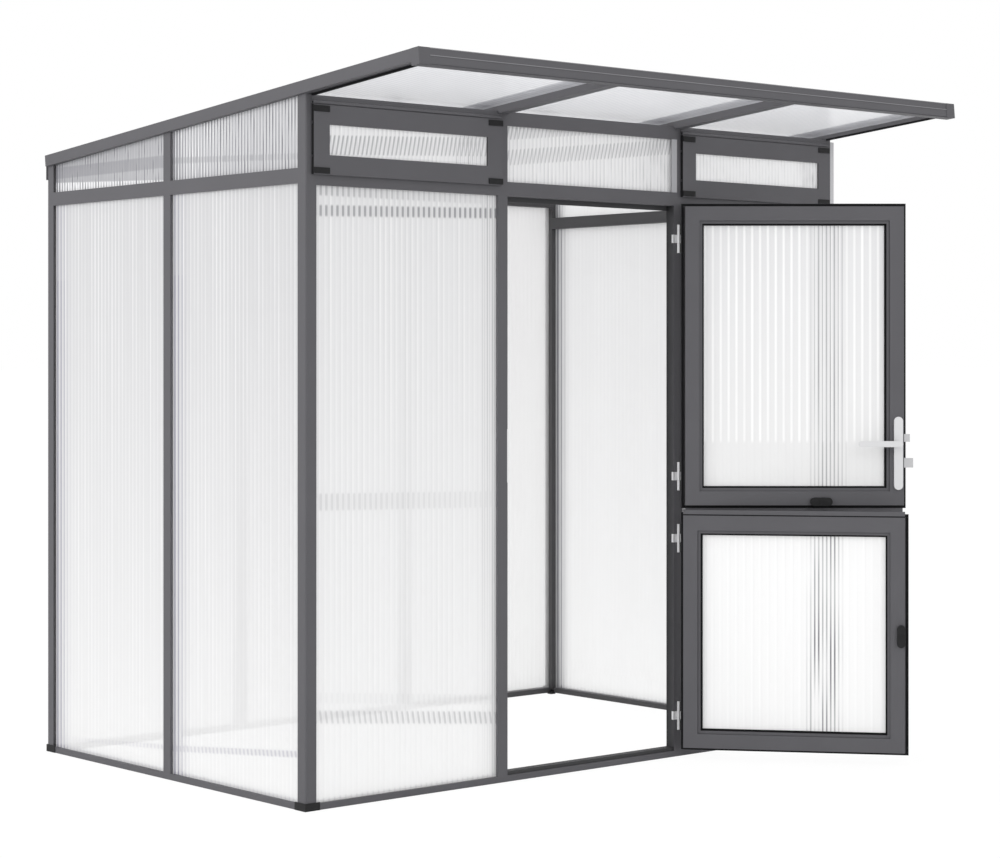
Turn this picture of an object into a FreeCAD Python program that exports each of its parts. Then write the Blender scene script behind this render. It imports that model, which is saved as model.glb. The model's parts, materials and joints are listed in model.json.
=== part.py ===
import FreeCAD, Part
import math
import os
import Sketcher

# Pent-roof greenhouse with a stable door and two top vents.
#
# Aluminium bars carry 10 mm twin-wall sheets.  The origin is the centre of the
# footprint on the ground, +Z is up and the door faces -Y.  All lengths are in mm.

SIZES = [
    ("house_width", 2336),
    ("house_depth", 1492),
    ("bar_width", 40),
    ("bar_wall", 2.5),
    ("post_corner_radius", 6),
    ("sheet_thickness", 10),
    ("sheet_recess", 9.7),
    ("sheet_play", 0.3),
    ("sheet_grip", 8),
    ("groove_depth", 9),
    ("sheet_skin", 1),
    ("cell_web", 1.2),
    ("cell_pitch", 100),
    ("shoe_height", 24),
    ("shoe_block_height", 12),
    ("shoe_floor", 3),
    ("shoe_skin", 2.5),
    ("shoe_reach", 52),
    ("shoe_play", 0.2),
    ("skirt_play", 0.25),
    ("ear_thickness", 4),
    ("ear_reach", 79),
    ("ear_shoulder", 56),
    ("anchor_inset", 65),
    ("anchor_bore", 9),
    ("base_rail_height", 20),
    ("door_opening_width", 746),
    ("jamb_depth", 36),
    ("sill_height", 20),
    ("sill_upstand_top", 32),
    ("sill_upstand_setback", 5),
    ("rail_height", 45),
    ("front_rail_drop", 308.3),
    ("side_rail_drop", 302.3),
    ("header_drop", 84.3),
    ("header_height", 44),
    ("side_bar_centre", 748),
    ("eaves_rail_drop", 216.3),
    ("eaves_rail_height", 30),
    ("eaves_lip", 9),
    ("eaves_lip_drop", 212.3),
    ("eaves_lip_height", 58),
    ("roof_front_height", 2172.3),
    ("roof_slope", 4.96),
    ("roof_overhang", 546),
    ("roof_side_reach", 10.5),
    ("roof_rail_width", 40),
    ("roof_rail_depth", 48),
    ("roof_sheet_depth", 14),
    ("fascia_depth", 49),
    ("fascia_thickness", 34),
    ("fascia_step", 3),
    ("fascia_upper_band", 21),
    ("fascia_bead", 3),
    ("header_seat_play", 0.3),
    ("edge_strip_width", 22),
    ("edge_strip_thickness", 2),
    ("hinge_beside_opening", 15),
    ("hinge_before_frame", 7),
    ("barrel_diameter", 10.5),
    ("pin_diameter", 5),
    ("pin_play", 0.06),
    ("bracket_knuckle", 29),
    ("bracket_plate_height", 28),
    ("leaf_knuckle", 33),
    ("knuckle_web_inset", 1),
    ("knuckle_play", 0.3),
    ("wing_width", 24),
    ("wing_thickness", 3),
    ("hinge_screw_diameter", 4),
    ("screw_head_diameter", 8),
    ("screw_head_height", 2),
    ("screw_length", 9),
    ("screw_play", 0.1),
    ("screw_margin", 1),
    ("upper_hinge_drop", 420.3),
    ("upper_hinge_above_split", 114.5),
    ("lower_hinge_below_split", 95.5),
    ("lower_hinge_height", 139),
    ("upper_leaf_open", 139.15),
    ("lower_leaf_open", 129.5),
    ("leaf_split", 834.5),
    ("leaf_gap", 13),
    ("leaf_lap", 7),
    ("leaf_play", 4.5),
    ("leaf_seal", 3),
    ("seal_thickness", 2.7),
    ("seal_width", 8),
    ("seal_inset", 1),
    ("flange_thickness", 10),
    ("leaf_body_depth", 37),
    ("member_width", 48),
    ("bead_width", 10),
    ("bead_step", 6),
    ("gasket_show", 6),
    ("outer_gasket", 5),
    ("inner_gasket", 4),
    ("glazing_edge_play", 2),
    ("over_door_play", 1),
    ("upstand_height", 21.5),
    ("upstand_thickness", 12),
    ("plate_length", 246),
    ("plate_width", 30),
    ("plate_thickness", 8),
    ("plate_below_lock", 174),
    ("plate_from_edge", 31),
    ("lever_below_lock", 19),
    ("lever_length", 138),
    ("lever_width", 20),
    ("lever_thickness", 9),
    ("lever_standoff", 34),
    ("lever_return", 20),
    ("lever_return_length", 16),
    ("lever_neck", 18),
    ("spindle_width", 8),
    ("spindle_play", 0.05),
    ("spindle_end_play", 1),
    ("lock_above_split", 244.5),
    ("latch_height", 26),
    ("latch_reach", 11),
    ("dead_below_lock", 84),
    ("dead_bolt_height", 32),
    ("dead_reach", 22),
    ("bolt_thickness", 12),
    ("bolt_setback", 8),
    ("bolt_length", 42),
    ("bolt_travel", 34),
    ("bolt_play", 0.5),
    ("lock_case_width", 42),
    ("lock_case_depth", 22),
    ("case_below_lock", 149),
    ("lock_case_height", 190),
    ("lock_case_wall", 1.5),
    ("spindle_hole_diameter", 12),
    ("key_below_lock", 111),
    ("cylinder_diameter", 17),
    ("cylinder_tail_width", 10),
    ("cylinder_drop", 33),
    ("cylinder_proud", 4),
    ("strike_thickness", 2),
    ("strike_height", 170),
    ("strike_below_lock", 127),
    ("strike_width", 22),
    ("strike_pocket_depth", 32),
    ("catch_length", 75),
    ("catch_width", 28),
    ("catch_thickness", 8),
    ("catch_boss_height", 3.5),
    ("catch_boss_diameter", 16),
    ("catch_pin_diameter", 6),
    ("catch_pin_head", 11),
    ("catch_head_height", 2),
    ("catch_play", 0.1),
    ("upper_catch_along", 477),
    ("catch_above_split", 30.5),
    ("lower_catch_inset", 12.5),
    ("lower_catch_height", 425),
    ("vent_outer_edge", 22),
    ("vent_inner_lap", 9),
    ("vent_bottom_drop", 277.3),
    ("vent_top_drop", 68.8),
    ("vent_proud", 12),
    ("vent_seat_gap", 1),
    ("vent_play", 4.5),
    ("vent_rebate_depth", 18),
    ("vent_glass_from_post", 81),
    ("vent_glass_from_jamb", 54),
    ("vent_glass_drop", 127.3),
    ("vent_glass_height", 91),
    ("vent_skin", 4),
    ("tab_length", 58),
    ("tab_height", 18),
    ("tab_proud", 3),
    ("tab_inset", 3),
    ("vent_axis_drop", 62.3),
    ("vent_axis_before_frame", 6),
    ("bulb_radius", 3.5),
    ("bulb_neck", 2.4),
    ("bulb_play", 0.3),
    ("channel_radius", 6),
    ("channel_foot_rise", 13),
    ("channel_mouth_start", 213),
    ("channel_mouth_end", 292),
]

OVERRUN = 5

doc = FreeCAD.newDocument("Greenhouse")
sheet = doc.addObject("Spreadsheet::Sheet", "Sizes")
for row, (alias, number) in enumerate(SIZES, start=1):
    sheet.set(f"A{row}", alias)
    sheet.set(f"B{row}", str(number))
    sheet.setAlias(f"B{row}", alias)
doc.recompute()


class Size:
    """A number worked out from the sheet, with the expression that gives it."""

    def __init__(self, number, words):
        self.number = float(number)
        self.words = words

    def __add__(self, other):
        other = as_size(other)
        return Size(self.number + other.number, f"({self.words} + {other.words})")

    def __radd__(self, other):
        return as_size(other) + self

    def __sub__(self, other):
        other = as_size(other)
        return Size(self.number - other.number, f"({self.words} - {other.words})")

    def __rsub__(self, other):
        return as_size(other) - self

    def __mul__(self, other):
        other = as_size(other)
        return Size(self.number * other.number, f"({self.words} * {other.words})")

    def __rmul__(self, other):
        return as_size(other) * self

    def __truediv__(self, other):
        other = as_size(other)
        return Size(self.number / other.number, f"({self.words} / {other.words})")

    def __neg__(self):
        return Size(-self.number, f"(0 - {self.words})")


def as_size(value):
    """Give a plain number the same form as a sheet size."""
    if isinstance(value, Size):
        return value
    return Size(value, repr(float(value)))


def size(alias):
    """Read one driving dimension."""
    return Size(getattr(sheet, alias), f"Sizes.{alias}")


def sine(angle):
    return Size(math.sin(math.radians(angle.number)), f"sin({angle.words})")


def cosine(angle):
    return Size(math.cos(math.radians(angle.number)), f"cos({angle.words})")


# Drawing helpers

def new_body(label):
    """Start a sub-part that is built up from sketches."""
    body = doc.addObject("PartDesign::Body", label)
    body.Label = label
    return body


def bind(feature, path, value):
    """Tie one property of a feature to its size in the sheet."""
    feature.setExpression(path, as_size(value).words)


def sketch_on(body, role, start, loops, circles=()):
    """Draw closed outlines and circles on an origin plane moved to START."""
    sketch = body.newObject("Sketcher::SketchObject", f"{body.Label}_outline")
    for plane in body.Origin.OriginFeatures:
        if plane.Role == role:
            sketch.AttachmentSupport = [(plane, "")]
    sketch.MapMode = "FlatFace"
    away = -as_size(start) if role == "XZ_Plane" else as_size(start)
    sketch.AttachmentOffset = FreeCAD.Placement(
        FreeCAD.Vector(0, 0, away.number), FreeCAD.Rotation())
    bind(sketch, "AttachmentOffset.Base.z", away)
    lines = []
    rules = []
    sizes = []
    for loop in loops:
        points = [(as_size(a), as_size(b)) for a, b in loop]
        first = len(lines)
        for index, (a, b) in enumerate(points):
            c, d = points[(index + 1) % len(points)]
            lines.append(Part.LineSegment(
                FreeCAD.Vector(a.number, b.number, 0),
                FreeCAD.Vector(c.number, d.number, 0)))
        for index, (a, b) in enumerate(points):
            here = first + index
            after = first + (index + 1) % len(points)
            rules.append(Sketcher.Constraint("Coincident", here, 2, after, 1))
            sizes.append(None)
            rules.append(Sketcher.Constraint("DistanceX", here, 1, a.number))
            sizes.append(a)
            rules.append(Sketcher.Constraint("DistanceY", here, 1, b.number))
            sizes.append(b)
    for a, b, radius in circles:
        here = len(lines)
        a, b, radius = as_size(a), as_size(b), as_size(radius)
        centre = FreeCAD.Vector(a.number, b.number, 0)
        lines.append(Part.Circle(centre, FreeCAD.Vector(0, 0, 1), radius.number))
        rules.append(Sketcher.Constraint("DistanceX", here, 3, a.number))
        rules.append(Sketcher.Constraint("DistanceY", here, 3, b.number))
        rules.append(Sketcher.Constraint("Radius", here, radius.number))
        sizes += [a, b, radius]
    sketch.addGeometry(lines, False)
    sketch.addConstraint(rules)
    for index, value in enumerate(sizes):
        if value is not None:
            bind(sketch, f"Constraints[{index}]", value)
    return sketch


def extrude(body, role, loops, start, length, circles=()):
    """Add a prism from START along the plane's positive world axis."""
    sketch = sketch_on(body, role, start, loops, circles)
    pad = body.newObject("PartDesign::Pad", f"{body.Label}_pad")
    pad.Profile = sketch
    pad.Length = as_size(length).number
    bind(pad, "Length", length)
    pad.Reversed = role == "XZ_Plane"
    sketch.Visibility = False
    return pad


def cut(body, role, loops, start, length, circles=()):
    """Remove a prism from START along the plane's positive world axis."""
    doc.recompute()
    before = body.Shape.Volume
    sketch = sketch_on(body, role, start, loops, circles)
    pocket = body.newObject("PartDesign::Pocket", f"{body.Label}_cut")
    pocket.Profile = sketch
    pocket.Length = as_size(length).number
    bind(pocket, "Length", length)
    pocket.Reversed = role != "XZ_Plane"
    doc.recompute()
    if not body.Shape.Volume < before:
        raise RuntimeError(f"a cut in {body.Label} removes nothing")
    return pocket


def repeat(body, feature, axis, pitch, count):
    """Repeat a cut COUNT times along one axis of its sketch."""
    pattern = body.newObject("PartDesign::LinearPattern", f"{body.Label}_row")
    pattern.Originals = [feature]
    pattern.Direction = (feature.Profile[0], [axis])
    bind(pattern, "Length", pitch * (count - 1))
    pattern.Occurrences = count
    body.Tip = pattern
    return pattern


def hexagon(a, b, radius):
    """Corners of a six-sided hole or shank, RADIUS from its centre to a corner."""
    return [(a + radius * math.cos(math.radians(turn)), b + radius * math.sin(math.radians(turn)))
            for turn in range(0, 360, 60)]


def box_loop(a0, b0, a1, b1):
    """Corners of a rectangle."""
    return [(a0, b0), (a1, b0), (a1, b1), (a0, b1)]


nodes = {}


def node(label, *pieces):
    """Keep one piece, or a group of like pieces, as a named node."""
    if len(pieces) == 1:
        nodes[label] = pieces[0]
        return pieces[0]
    group = doc.addObject("Part::Compound", label)
    group.Label = label
    group.Links = list(pieces)
    nodes[label] = group
    return group


# Sizes that most pieces share

half_width = size("house_width") / 2
half_depth = size("house_depth") / 2
front = -half_depth
bar = size("bar_width")
wall = size("bar_wall")
play = size("sheet_play")
sheet_thickness = size("sheet_thickness")
groove_near = size("sheet_recess") - play
groove_far = size("sheet_recess") + sheet_thickness + play
groove_depth = size("groove_depth")
grip = size("sheet_grip")
half_opening = size("door_opening_width") / 2
jamb_outer = half_opening + bar
post_inner = half_width - bar
roof_slope = size("roof_slope")
roof_cos = cosine(roof_slope)
roof_sin = sine(roof_slope)


def below_roof(drop):
    """Height of a point that lies DROP under the front edge of the roof."""
    return size("roof_front_height") - size(drop)


front_rail_bottom = below_roof("front_rail_drop")
side_rail_bottom = below_roof("side_rail_drop")
header_bottom = below_roof("header_drop")
eaves_rail_bottom = below_roof("eaves_rail_drop")
vent_bottom = below_roof("vent_bottom_drop")
vent_top = below_roof("vent_top_drop")
vent_glass_top = below_roof("vent_glass_drop")
vent_glass_bottom = vent_glass_top - size("vent_glass_height")
vent_axis_level = below_roof("vent_axis_drop")
latch_level = size("leaf_split") + size("lock_above_split")
lever_level = latch_level - size("lever_below_lock")
dead_level = latch_level - size("dead_below_lock")
key_level = latch_level - size("key_below_lock")


def roof_height(depth_below, behind_front):
    """Height of a plane DEPTH_BELOW the roof rails' top, BEHIND_FRONT of the wall."""
    return size("roof_front_height") - depth_below / roof_cos - behind_front * roof_sin / roof_cos


def bar_section(width, depth, grooves):
    """Outline and hollow of a bar: A across it, B inwards from its outer face.

    GROOVES names the sides, low or high along A, that hold a sheet.
    """
    outline = [(0, 0), (width, 0)]
    hollow = [(wall, wall), (width - wall, wall)]
    if "high" in grooves:
        outline += [(width, groove_near), (width - groove_depth, groove_near),
                    (width - groove_depth, groove_far), (width, groove_far)]
        hollow += [(width - wall, groove_near - wall),
                   (width - groove_depth - wall, groove_near - wall),
                   (width - groove_depth - wall, groove_far + wall),
                   (width - wall, groove_far + wall)]
    outline += [(width, depth), (0, depth)]
    hollow += [(width - wall, depth - wall), (wall, depth - wall)]
    if "low" in grooves:
        outline += [(0, groove_far), (groove_depth, groove_far),
                    (groove_depth, groove_near), (0, groove_near)]
        hollow += [(wall, groove_far + wall), (groove_depth + wall, groove_far + wall),
                   (groove_depth + wall, groove_near - wall), (wall, groove_near - wall)]
    return outline, hollow


def bar_body(label, role, place, width, depth, grooves, start, length):
    """A hollow bar whose section PLACE puts into the sketch plane."""
    body = new_body(label)
    loops = [[place(a, b) for a, b in loop] for loop in bar_section(width, depth, grooves)]
    extrude(body, role, loops, start, length)
    return body


def slope_cut(body, depth_below):
    """Trim a piece to the roof's slope, DEPTH_BELOW the top of the roof rails."""
    low_y = front - OVERRUN
    high_y = half_depth + OVERRUN
    sky = size("roof_front_height") + bar
    loop = [(low_y, roof_height(depth_below, low_y - front)),
            (high_y, roof_height(depth_below, high_y - front)), (high_y, sky), (low_y, sky)]
    return cut(body, "YZ_Plane", [loop], -half_width - OVERRUN, 2 * half_width + 2 * OVERRUN)


# Feet, posts and base rails

def corner_shoe(label, side, end):
    """Moulded foot: a socket for the post, a skirt outside and an ear for the anchor."""
    def place(a, b):
        return (side * (half_width - a), end * (half_depth - b))

    skin = size("shoe_skin")
    reach = size("shoe_reach")
    body = new_body(label)
    block = [place(-skin, -skin), place(reach, -skin), place(reach, bar), place(bar, bar),
             place(bar, reach), place(-skin, reach)]
    shoulder = size("ear_shoulder")
    tip = size("ear_reach")
    extrude(body, "XY_Plane", [block], 0, size("shoe_block_height"))
    off = -size("skirt_play")
    skirt = [place(-skin, -skin), place(reach, -skin), place(reach, off),
             place(off, off), place(off, reach), place(-skin, reach)]
    extrude(body, "XY_Plane", [skirt], 0, size("shoe_height"))
    ear = [place(bar, bar), place(reach, bar), place(tip, shoulder), place(tip, tip),
           place(shoulder, tip), place(bar, reach)]
    extrude(body, "XY_Plane", [ear], 0, size("ear_thickness"))
    gap = size("shoe_play")
    socket = [place(-gap, -gap), place(bar + gap, -gap), place(bar + gap, bar + gap),
              place(-gap, bar + gap)]
    cut(body, "XY_Plane", [socket], size("shoe_floor"), size("shoe_height"))
    inset = size("anchor_inset")
    hole_x, hole_y = place(inset, inset)
    cut(body, "XY_Plane", [], -OVERRUN, size("shoe_height"),
        [(hole_x, hole_y, size("anchor_bore") / 2)])
    return body


def corner_post(label, side, end):
    """Hollow post with a groove towards each of its two walls and a rounded outer corner."""
    def place(a, b):
        return (side * (half_width - a), end * (half_depth - b))

    inner = bar - wall
    floor = bar - groove_depth
    outline = [(0, 0), (bar, 0), (bar, groove_near), (floor, groove_near),
               (floor, groove_far), (bar, groove_far), (bar, bar),
               (groove_far, bar), (groove_far, floor), (groove_near, floor),
               (groove_near, bar), (0, bar)]
    hollow = [(wall, wall), (inner, wall), (inner, groove_near - wall),
              (floor - wall, groove_near - wall), (floor - wall, groove_far + wall),
              (inner, groove_far + wall), (inner, inner), (groove_far + wall, inner),
              (groove_far + wall, floor - wall), (groove_near - wall, floor - wall),
              (groove_near - wall, inner), (wall, inner)]
    body = new_body(label)
    loops = [[place(a, b) for a, b in loop] for loop in (outline, hollow)]
    foot = size("shoe_floor")
    pad = extrude(body, "XY_Plane", loops, foot, size("roof_front_height") - foot)
    doc.recompute()
    corner_x, corner_y = place(0, 0)
    edges = [f"Edge{index}" for index, edge in enumerate(body.Shape.Edges, 1)
             if all(abs(vertex.X - corner_x.number) < 0.01
                    and abs(vertex.Y - corner_y.number) < 0.01 for vertex in edge.Vertexes)]
    fillet = body.newObject("PartDesign::Fillet", f"{label}_round")
    fillet.Base = (pad, edges)
    bind(fillet, "Radius", size("post_corner_radius"))
    slope_cut(body, size("roof_rail_depth"))
    return body


def make_corners():
    shoes = []
    posts = []
    for side in (-1, 1):
        for end in (-1, 1):
            tag = f"{'left' if side < 0 else 'right'}_{'front' if end < 0 else 'rear'}"
            shoes.append(corner_shoe(f"shoe_{tag}", side, end))
            posts.append(corner_post(f"post_{tag}", side, end))
    node("corner_shoes", *shoes)
    node("corner_posts", *posts)


def along_front(bottom):
    """Section of a front bar that runs across: A is height, B goes inwards."""
    return lambda a, b: (front + b, bottom + a)


def along_rear(bottom):
    return lambda a, b: (half_depth - b, bottom + a)


def along_side(side, bottom):
    return lambda a, b: (side * (half_width - b), bottom + a)


def make_base_rails():
    height = size("base_rail_height")
    reach = size("shoe_reach")
    rails = []
    front_run = half_width - reach - jamb_outer
    for side, start in ((-1, -half_width + reach), (1, jamb_outer)):
        rails.append(bar_body(f"front_base_{'left' if side < 0 else 'right'}", "YZ_Plane",
                              along_front(0), height, bar, {"high"}, start, front_run))
    rails.append(bar_body("rear_base", "YZ_Plane", along_rear(0), height, bar, {"high"},
                          -half_width + reach, 2 * (half_width - reach)))
    for side in (-1, 1):
        rails.append(bar_body(f"side_base_{'left' if side < 0 else 'right'}", "XZ_Plane",
                              along_side(side, 0), height, bar, {"high"},
                              -half_depth + reach, 2 * (half_depth - reach)))
    node("base_rails", *rails)


# Door frame, wall bars and rails

def make_door_frame():
    top = header_bottom
    depth = size("jamb_depth")

    def left(a, b):
        return (-jamb_outer + a, front + b)

    def right(a, b):
        return (jamb_outer - a, front + b)

    left_jamb = bar_body("left_door_jamb", "XY_Plane", left, bar, depth, {"low"}, 0, top)
    pocket_start = -half_opening - size("strike_pocket_depth")
    seat = size("strike_thickness")
    near, far = bolt_span()
    for centre, tall in ((latch_level, size("latch_height")),
                         (dead_level, size("dead_bolt_height"))):
        room = tall / 2 + 2 * size("bolt_play")
        pocket = box_loop(near - 2 * size("bolt_play"), centre - room,
                          far + 2 * size("bolt_play"), centre + room)
        cut(left_jamb, "YZ_Plane", [pocket], pocket_start, size("strike_pocket_depth") + OVERRUN)
    middle = (near + far) / 2
    strike_low = latch_level - size("strike_below_lock")
    strike_high = strike_low + size("strike_height")
    recess = box_loop(middle - size("strike_width") / 2, strike_low,
                      middle + size("strike_width") / 2, strike_high)
    cut(left_jamb, "YZ_Plane", [recess], -half_opening - seat, seat + OVERRUN)
    node("left_door_jamb", left_jamb)

    strike = new_body("lock_strike")
    gap = play / 2
    plate = box_loop(middle - size("strike_width") / 2 + gap, strike_low + gap,
                     middle + size("strike_width") / 2 - gap, strike_high - gap)
    extrude(strike, "YZ_Plane", [plate], -half_opening - seat, seat)
    for centre, tall in ((latch_level, size("latch_height")),
                         (dead_level, size("dead_bolt_height"))):
        room = tall / 2 + size("bolt_play")
        window = box_loop(near - size("bolt_play"), centre - room,
                          far + size("bolt_play"), centre + room)
        cut(strike, "YZ_Plane", [window], -half_opening - seat - OVERRUN, seat + 2 * OVERRUN)
    node("lock_strike", strike)

    right_jamb = bar_body("right_door_jamb", "XY_Plane", right, bar, depth, {"low"}, 0, top)
    screw_x = hinge_screw_across()
    bore = size("hinge_screw_diameter") / 2 + size("screw_play")
    holes = [hexagon(screw_x, centre, bore) for centre in hinge_heights()]
    cut(right_jamb, "XZ_Plane", holes, front - OVERRUN, OVERRUN + size("screw_length"))
    node("right_door_jamb", right_jamb)

    rise = size("rail_height")
    head = bar_body("door_head_rail", "YZ_Plane", along_front(front_rail_bottom),
                    rise, depth, {"high"}, -half_opening, 2 * half_opening)
    node("door_head_rail", head)

    sill = new_body("door_threshold")
    low = size("sill_height")
    high = size("sill_upstand_top")
    back = size("sill_upstand_setback")
    outline = [(front, 0), (front + depth, 0), (front + depth, high), (front + back, high),
               (front + back, low), (front, low)]
    hollow = [(front + wall, wall), (front + depth - wall, wall),
              (front + depth - wall, high - wall), (front + back + wall, high - wall),
              (front + back + wall, low - wall), (front + wall, low - wall)]
    extrude(sill, "YZ_Plane", [outline, hollow], -half_opening, 2 * half_opening)
    node("door_threshold", sill)


def make_wall_bars():
    """Bars between the bays of the side and rear walls."""
    bars = []
    side_start = front + size("side_bar_centre") - bar / 2
    top = size("roof_front_height")
    for side in (-1, 1):
        def beside(a, b, side=side):
            return (side * (half_width - b), side_start + a)
        body = bar_body(f"side_bar_{'left' if side < 0 else 'right'}", "XY_Plane", beside,
                        bar, bar, {"low", "high"}, 0, top)
        slope_cut(body, size("roof_rail_depth"))
        bars.append(body)
    for side in (-1, 1):
        def behind(a, b, side=side):
            return (side * rear_bar_offset() - bar / 2 + a, half_depth - b)
        bars.append(bar_body(f"rear_bar_{'left' if side < 0 else 'right'}", "XY_Plane", behind,
                             bar, bar, {"low", "high"}, 0, eaves_rail_bottom))
    for body in bars:
        clear_base_rail(body)
    node("wall_bars", *bars)


def rear_bar_offset():
    """Distance of each rear bar's centre from the middle: three equal bays."""
    bay = (2 * post_inner - 2 * bar) / 3
    return bay / 2 + bar / 2


def clear_base_rail(body):
    """Cut the foot of a wall bar off so that it stands on the base rail."""
    reach = half_width + OVERRUN
    foot = box_loop(-reach, -half_depth - OVERRUN, reach, half_depth + OVERRUN)
    cut(body, "XY_Plane", [foot], -OVERRUN, OVERRUN + size("base_rail_height"))


def make_rails():
    rise = size("rail_height")
    run = post_inner - jamb_outer
    rails = []
    for side, start in ((-1, -post_inner), (1, jamb_outer)):
        rails.append(bar_body(f"front_rail_{'left' if side < 0 else 'right'}", "YZ_Plane",
                              along_front(front_rail_bottom), rise, bar, {"low"},
                              start, run))
    node("front_mid_rails", *rails)
    rails = []
    near_start = -half_depth + bar
    bar_start = front + size("side_bar_centre") - bar / 2
    for side in (-1, 1):
        tag = "left" if side < 0 else "right"
        for place, start, end in (("front", near_start, bar_start),
                                  ("rear", bar_start + bar, half_depth - bar)):
            rails.append(bar_body(f"side_rail_{tag}_{place}", "XZ_Plane",
                                  along_side(side, side_rail_bottom), rise, bar,
                                  {"low", "high"}, start, end - start))
    node("side_mid_rails", *rails)
    header = bar_body("front_header", "YZ_Plane", along_front(header_bottom),
                      size("header_height"), bar, {"low"}, -post_inner, 2 * post_inner)
    node("front_header", header)


def make_eaves_rail():
    """Rear rail between the posts, with a lip that covers the ends of the roof."""
    body = new_body("rear_eaves_rail")
    bottom = eaves_rail_bottom
    back = half_depth
    lip = size("eaves_lip")
    outline, hollow = bar_section(size("eaves_rail_height"), bar, {"low"})
    loops = [[(back - b, bottom + a) for a, b in loop] for loop in (outline, hollow)]
    extrude(body, "YZ_Plane", loops, -post_inner, 2 * post_inner)
    low = below_roof("eaves_lip_drop")
    high = low + size("eaves_lip_height")
    lip_loop = box_loop(back, low, back + lip, high)
    inner = box_loop(back + wall, low + wall, back + lip - wall, high - wall)
    extrude(body, "YZ_Plane", [lip_loop, inner], -half_width, 2 * half_width)
    node("rear_eaves_rail", body)


# Roof, drawn flat with Y down the slope and Z square to it

roof_turn = FreeCAD.Rotation(FreeCAD.Vector(1, 0, 0), -roof_slope.number)
roof_place = FreeCAD.Placement(
    FreeCAD.Vector(0, front.number, size("roof_front_height").number), roof_turn)
roof_tip = -size("roof_overhang") / roof_cos
roof_back = size("house_depth") / roof_cos
rail_start = roof_tip + size("fascia_thickness")
roof_edge = half_width + size("roof_side_reach")
slot_top = -size("roof_sheet_depth") + play
slot_bottom = -size("roof_sheet_depth") - sheet_thickness - play


def on_roof(behind_front, below_top):
    """Place of a point behind the front wall, as the flat roof drawing has it."""
    return (behind_front * roof_cos + below_top * roof_sin,
            behind_front * roof_sin - below_top * roof_cos)


def make_roof_rails():
    width = size("roof_rail_width")
    depth = size("roof_rail_depth")
    reach = size("roof_side_reach")
    near = reach + groove_near
    far = reach + groove_far
    rails = []
    for side in (-1, 1):
        outline = [(0, 0), (width, 0), (width, slot_top), (width - groove_depth, slot_top),
                   (width - groove_depth, slot_bottom), (width, slot_bottom), (width, -depth),
                   (far, -depth), (far, groove_depth - depth), (near, groove_depth - depth),
                   (near, -depth), (0, -depth)]
        hollow = box_loop(wall, groove_depth + wall - depth,
                          width - groove_depth - wall, -wall)
        loops = [[(side * (roof_edge - a), b) for a, b in loop] for loop in (outline, hollow)]
        body = new_body(f"roof_rail_{'left' if side < 0 else 'right'}")
        extrude(body, "XZ_Plane", loops, rail_start, roof_back - rail_start)
        body.Placement = roof_place
        rails.append(body)
    node("side_roof_rails", *rails)


def make_rafters():
    """Rafters over the jambs, notched to sit on the header."""
    width = size("roof_rail_width")
    depth = size("roof_rail_depth")
    play_here = size("header_seat_play")
    header_drop = size("roof_front_height") - header_bottom - size("header_height")
    below = depth / roof_cos + OVERRUN
    notch = [on_roof(-play_here, header_drop), on_roof(bar + play_here, header_drop),
             on_roof(bar + play_here, below + bar), on_roof(-play_here, below + bar)]
    rafters = []
    for side in (-1, 1):
        outline = [(0, 0), (width, 0), (width, slot_top), (width - groove_depth, slot_top),
                   (width - groove_depth, slot_bottom), (width, slot_bottom), (width, -depth),
                   (0, -depth), (0, slot_bottom), (groove_depth, slot_bottom),
                   (groove_depth, slot_top), (0, slot_top)]
        hollow = box_loop(groove_depth + wall, wall - depth,
                          width - groove_depth - wall, -wall)
        loops = [[(side * (half_opening + a), b) for a, b in loop] for loop in (outline, hollow)]
        body = new_body(f"rafter_{'left' if side < 0 else 'right'}")
        extrude(body, "XZ_Plane", loops, rail_start, roof_back - rail_start)
        cut(body, "YZ_Plane", [notch], -half_width, 2 * half_width)
        body.Placement = roof_place
        rafters.append(body)
    node("roof_rafters", *rafters)


def make_fascia():
    """Front edge of the roof: two bands with a bead between them, grooved for the sheets."""
    body = new_body("roof_fascia")
    depth = size("fascia_depth")
    thick = size("fascia_thickness")
    step = size("fascia_step")
    band = size("fascia_upper_band")
    bead = size("fascia_bead")
    back = roof_tip + thick
    outline = [(roof_tip, 0), (roof_tip, -band), (roof_tip + step, -band),
               (roof_tip + step, -band - bead), (roof_tip, -band - bead),
               (roof_tip, bead - depth), (roof_tip + step, bead - depth),
               (roof_tip + step, -depth), (back, -depth), (back, slot_bottom),
               (back - groove_depth, slot_bottom), (back - groove_depth, slot_top),
               (back, slot_top), (back, 0)]
    hollow = box_loop(roof_tip + step + wall, wall - depth,
                      back - groove_depth - wall, -wall)
    extrude(body, "YZ_Plane", [outline, hollow], -roof_edge, 2 * roof_edge)
    body.Placement = roof_place
    node("roof_fascia", body)


# Twin-wall sheets

def ribbed_sheet(label, role, low, high, near, start, length, turned=False):
    """A slab from LOW to HIGH across, with open cells along its length."""
    def place(a, b):
        return (b, a) if turned else (a, b)

    skin = size("sheet_skin")
    web = size("cell_web")
    pitch = size("cell_pitch")
    far = near + sheet_thickness
    body = new_body(label)
    slab = [place(low, near), place(high, near), place(high, far), place(low, far)]
    extrude(body, role, [slab], start, length)
    width = as_size(high) - low
    count = int((width.number - web.number) // pitch.number)
    first = (as_size(low) + high) / 2 - pitch * count / 2 + web / 2
    last = first + pitch - web
    cell = [place(first, near + skin), place(last, near + skin),
            place(last, far - skin), place(first, far - skin)]
    pocket = cut(body, role, [cell], as_size(start) - OVERRUN, as_size(length) + 2 * OVERRUN)
    repeat(body, pocket, "V_Axis" if turned else "H_Axis", pitch, count)
    return body


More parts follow.
